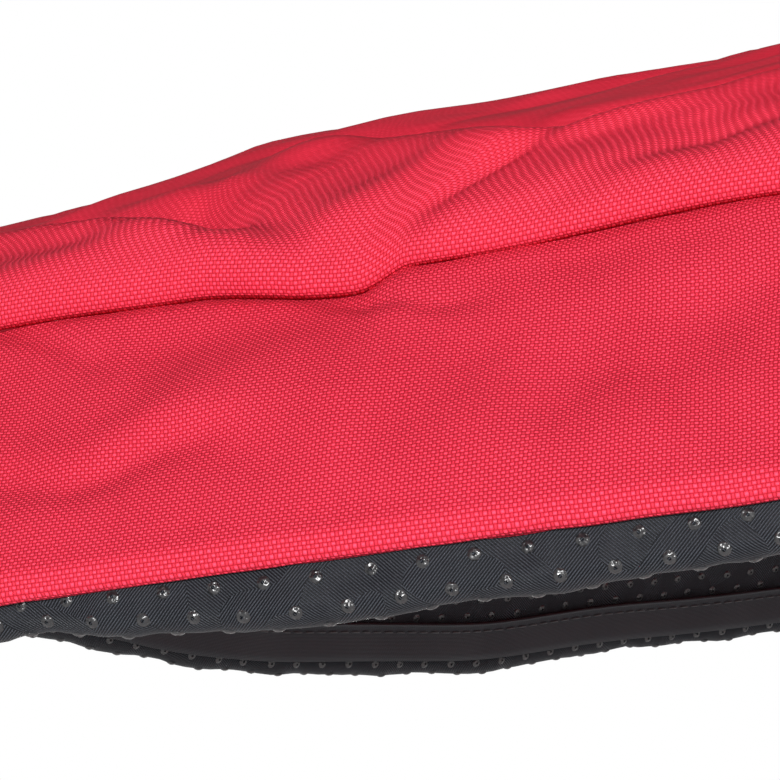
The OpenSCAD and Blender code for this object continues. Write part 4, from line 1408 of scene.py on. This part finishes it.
def makeZip():
    low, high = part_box("zip_tapes")
    coilLow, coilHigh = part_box("zip_coil")
    middle = (low.z + high.z) / 2
    y = np.linspace(low.y, high.y, 80)
    for side, name in ((1, "Upper"), (-1, "Lower")):
        across = np.array([0.0017, 0.0021, 0.005, 0.0078])
        p = np.zeros((len(y), 4, 3))
        p[..., 0] = low.x + np.array([0.0008, 0.0007, 0.0006, 0.0005])[None]
        p[..., 1] = y[:, None]
        p[..., 2] = middle + side * across[None]
        tape = clothMesh("zipTape" + name, p, zipLook["tapeThick"], flip=side < 0)
        dress(tape, tapeCloth, "skirt", "black_tape", *(["zip_tapes"] if side > 0 else []))
    pitch = zipLook["pitch"]
    count = int((coilHigh.y - coilLow.y) / pitch)
    origins, axes = [], []
    bar = coilTurn(zipLook["wire"])
    for k in range(count * 2):
        side = 1 if k % 2 else -1
        yy = coilLow.y + (k + 0.5) * pitch / 2
        origins.append((coilLow.x + 0.0006, yy, middle + side * 0.00055))
        axes.append(((0, 0, 1.0), (0, 1.0, 0), (1.0, 0, 0)))
    teeth = scattered("zipCoil", bar[0], bar[1], origins, axes)
    dress(teeth, blackPlastic, "skirt", "black_plastic", "zip_coil")


# one flattened loop of the coil, seen from above
def coilTurn(r):
    points = [(0.0011 * math.cos(a), 0.0006 * math.sin(a)) for a in np.arange(12) * math.pi / 6]
    shape, faces = [], []
    for k, (x, z) in enumerate(points):
        a = k * math.pi / 6
        for b in np.arange(5) * 2 * math.pi / 5:
            out = r * math.cos(b)
            shape.append((x + out * math.cos(a), r * math.sin(b), z + out * math.sin(a)))
    for k in range(12):
        for j in range(5):
            m, n = (k + 1) % 12, (j + 1) % 5
            faces.append((k * 5 + j, k * 5 + n, m * 5 + n, m * 5 + j))
    return np.array(shape), faces


makeZip()
print("zip made")

stageLook = {
    "floorZ": -0.15,
    "floorSize": 2.6,
    "floorGlow": 0.52,
    "world": 0.15,       # light from all round
    "mirrored": 0.25,    # how much of the white background shows in glossy surfaces
}


def makeStage():
    size, z = stageLook["floorSize"], stageLook["floorZ"]
    turns = np.arange(64) * 2 * math.pi / 64
    verts = np.array([(0.1 + size * math.cos(a), size * math.sin(a), z) for a in turns])
    mesh = bpy.data.meshes.new("floor")
    mesh.from_pydata([tuple(v) for v in verts], [], [tuple(range(64))])
    floor = bpy.data.objects.new("floor", mesh)
    scene.collection.objects.link(floor)
    f = Finish("floorPaint", Roughness=0.8, Specular_IOR_Level=0.1, Emission_Color=(1, 1, 1, 1),
               Emission_Strength=stageLook["floorGlow"])
    speck = f.noise(f.object(), 40.0, 3.0)
    f.feed("Base Color", f.tint((0.46, 0.46, 0.46), (0.50, 0.50, 0.50), speck))
    mesh.materials.append(f.material)

    world = bpy.data.worlds.new("studio")
    scene.world = world
    world.use_nodes = True
    studio = Wiring(world.node_tree)
    seen = (studio.node("LightPath", {}, {}, "Is Camera Ray")
            + studio.node("LightPath", {}, {}, "Is Glossy Ray") * stageLook["mirrored"]
            + studio.node("LightPath", {}, {}, "Is Transmission Ray"))
    level = seen.math("MINIMUM", 1.0) * (1 - stageLook["world"]) + stageLook["world"]
    back = studio.tree.nodes["Background"]
    back.inputs["Color"].default_value = (1, 1, 1, 1)
    studio.tree.links.new(level.socket, back.inputs["Strength"])


lampLook = {             # place, aim, size, power
    "key": ((1.15, 2.25, 0.20), (0.35, 0.1, 0.05), 0.3, 74),
    "fill": ((-1.9, 1.5, 0.3), (0.1, 0.0, 0.1), 1.0, 16),
    "back": ((-0.3, -2.4, 0.3), (0.1, 0.0, 0.1), 1.0, 34),
}


def lamp(name, place, aim, size, power):
    light = bpy.data.lights.new(name, "AREA")
    light.shape, light.size, light.energy, light.color = "DISK", size, power, (1, 1, 1)
    o = bpy.data.objects.new(name, light)
    scene.collection.objects.link(o)
    o.location = place
    o.rotation_euler = (Vector(aim) - Vector(place)).to_track_quat("-Z", "Y").to_euler()


cameraLook = {
    "place": (0.5143, 0.6883, -0.0185),
    "turn": 0.2491,     # from straight to starboard towards the stern, radians
    "rise": 0.1033,
    "roll": -0.1211,
    "lens": 146.5,
}


def makeCamera():
    c = cameraLook
    yaw, pitch, roll = c["turn"], c["rise"], c["roll"]
    look = np.array([-math.sin(yaw) * math.cos(pitch), -math.cos(yaw) * math.cos(pitch), math.sin(pitch)])
    right = unit(np.cross(look, [0, 0, 1.0]))
    up = np.cross(right, look)
    right, up = (right * math.cos(roll) + up * math.sin(roll), up * math.cos(roll) - right * math.sin(roll))
    data = bpy.data.cameras.new("camera")
    data.lens, data.sensor_width, data.clip_start, data.clip_end = c["lens"], 36, 0.01, 50
    camera = bpy.data.objects.new("camera", data)
    scene.collection.objects.link(camera)
    world = np.eye(4)
    world[:3, 0], world[:3, 1], world[:3, 2], world[:3, 3] = right, up, -look, c["place"]
    camera.matrix_world = Matrix(world.tolist())
    scene.camera = camera


makeStage()
for name, values in lampLook.items():
    lamp(name, *values)
makeCamera()
scene.view_settings.view_transform = "Standard"
print("stage, lights and camera placed")
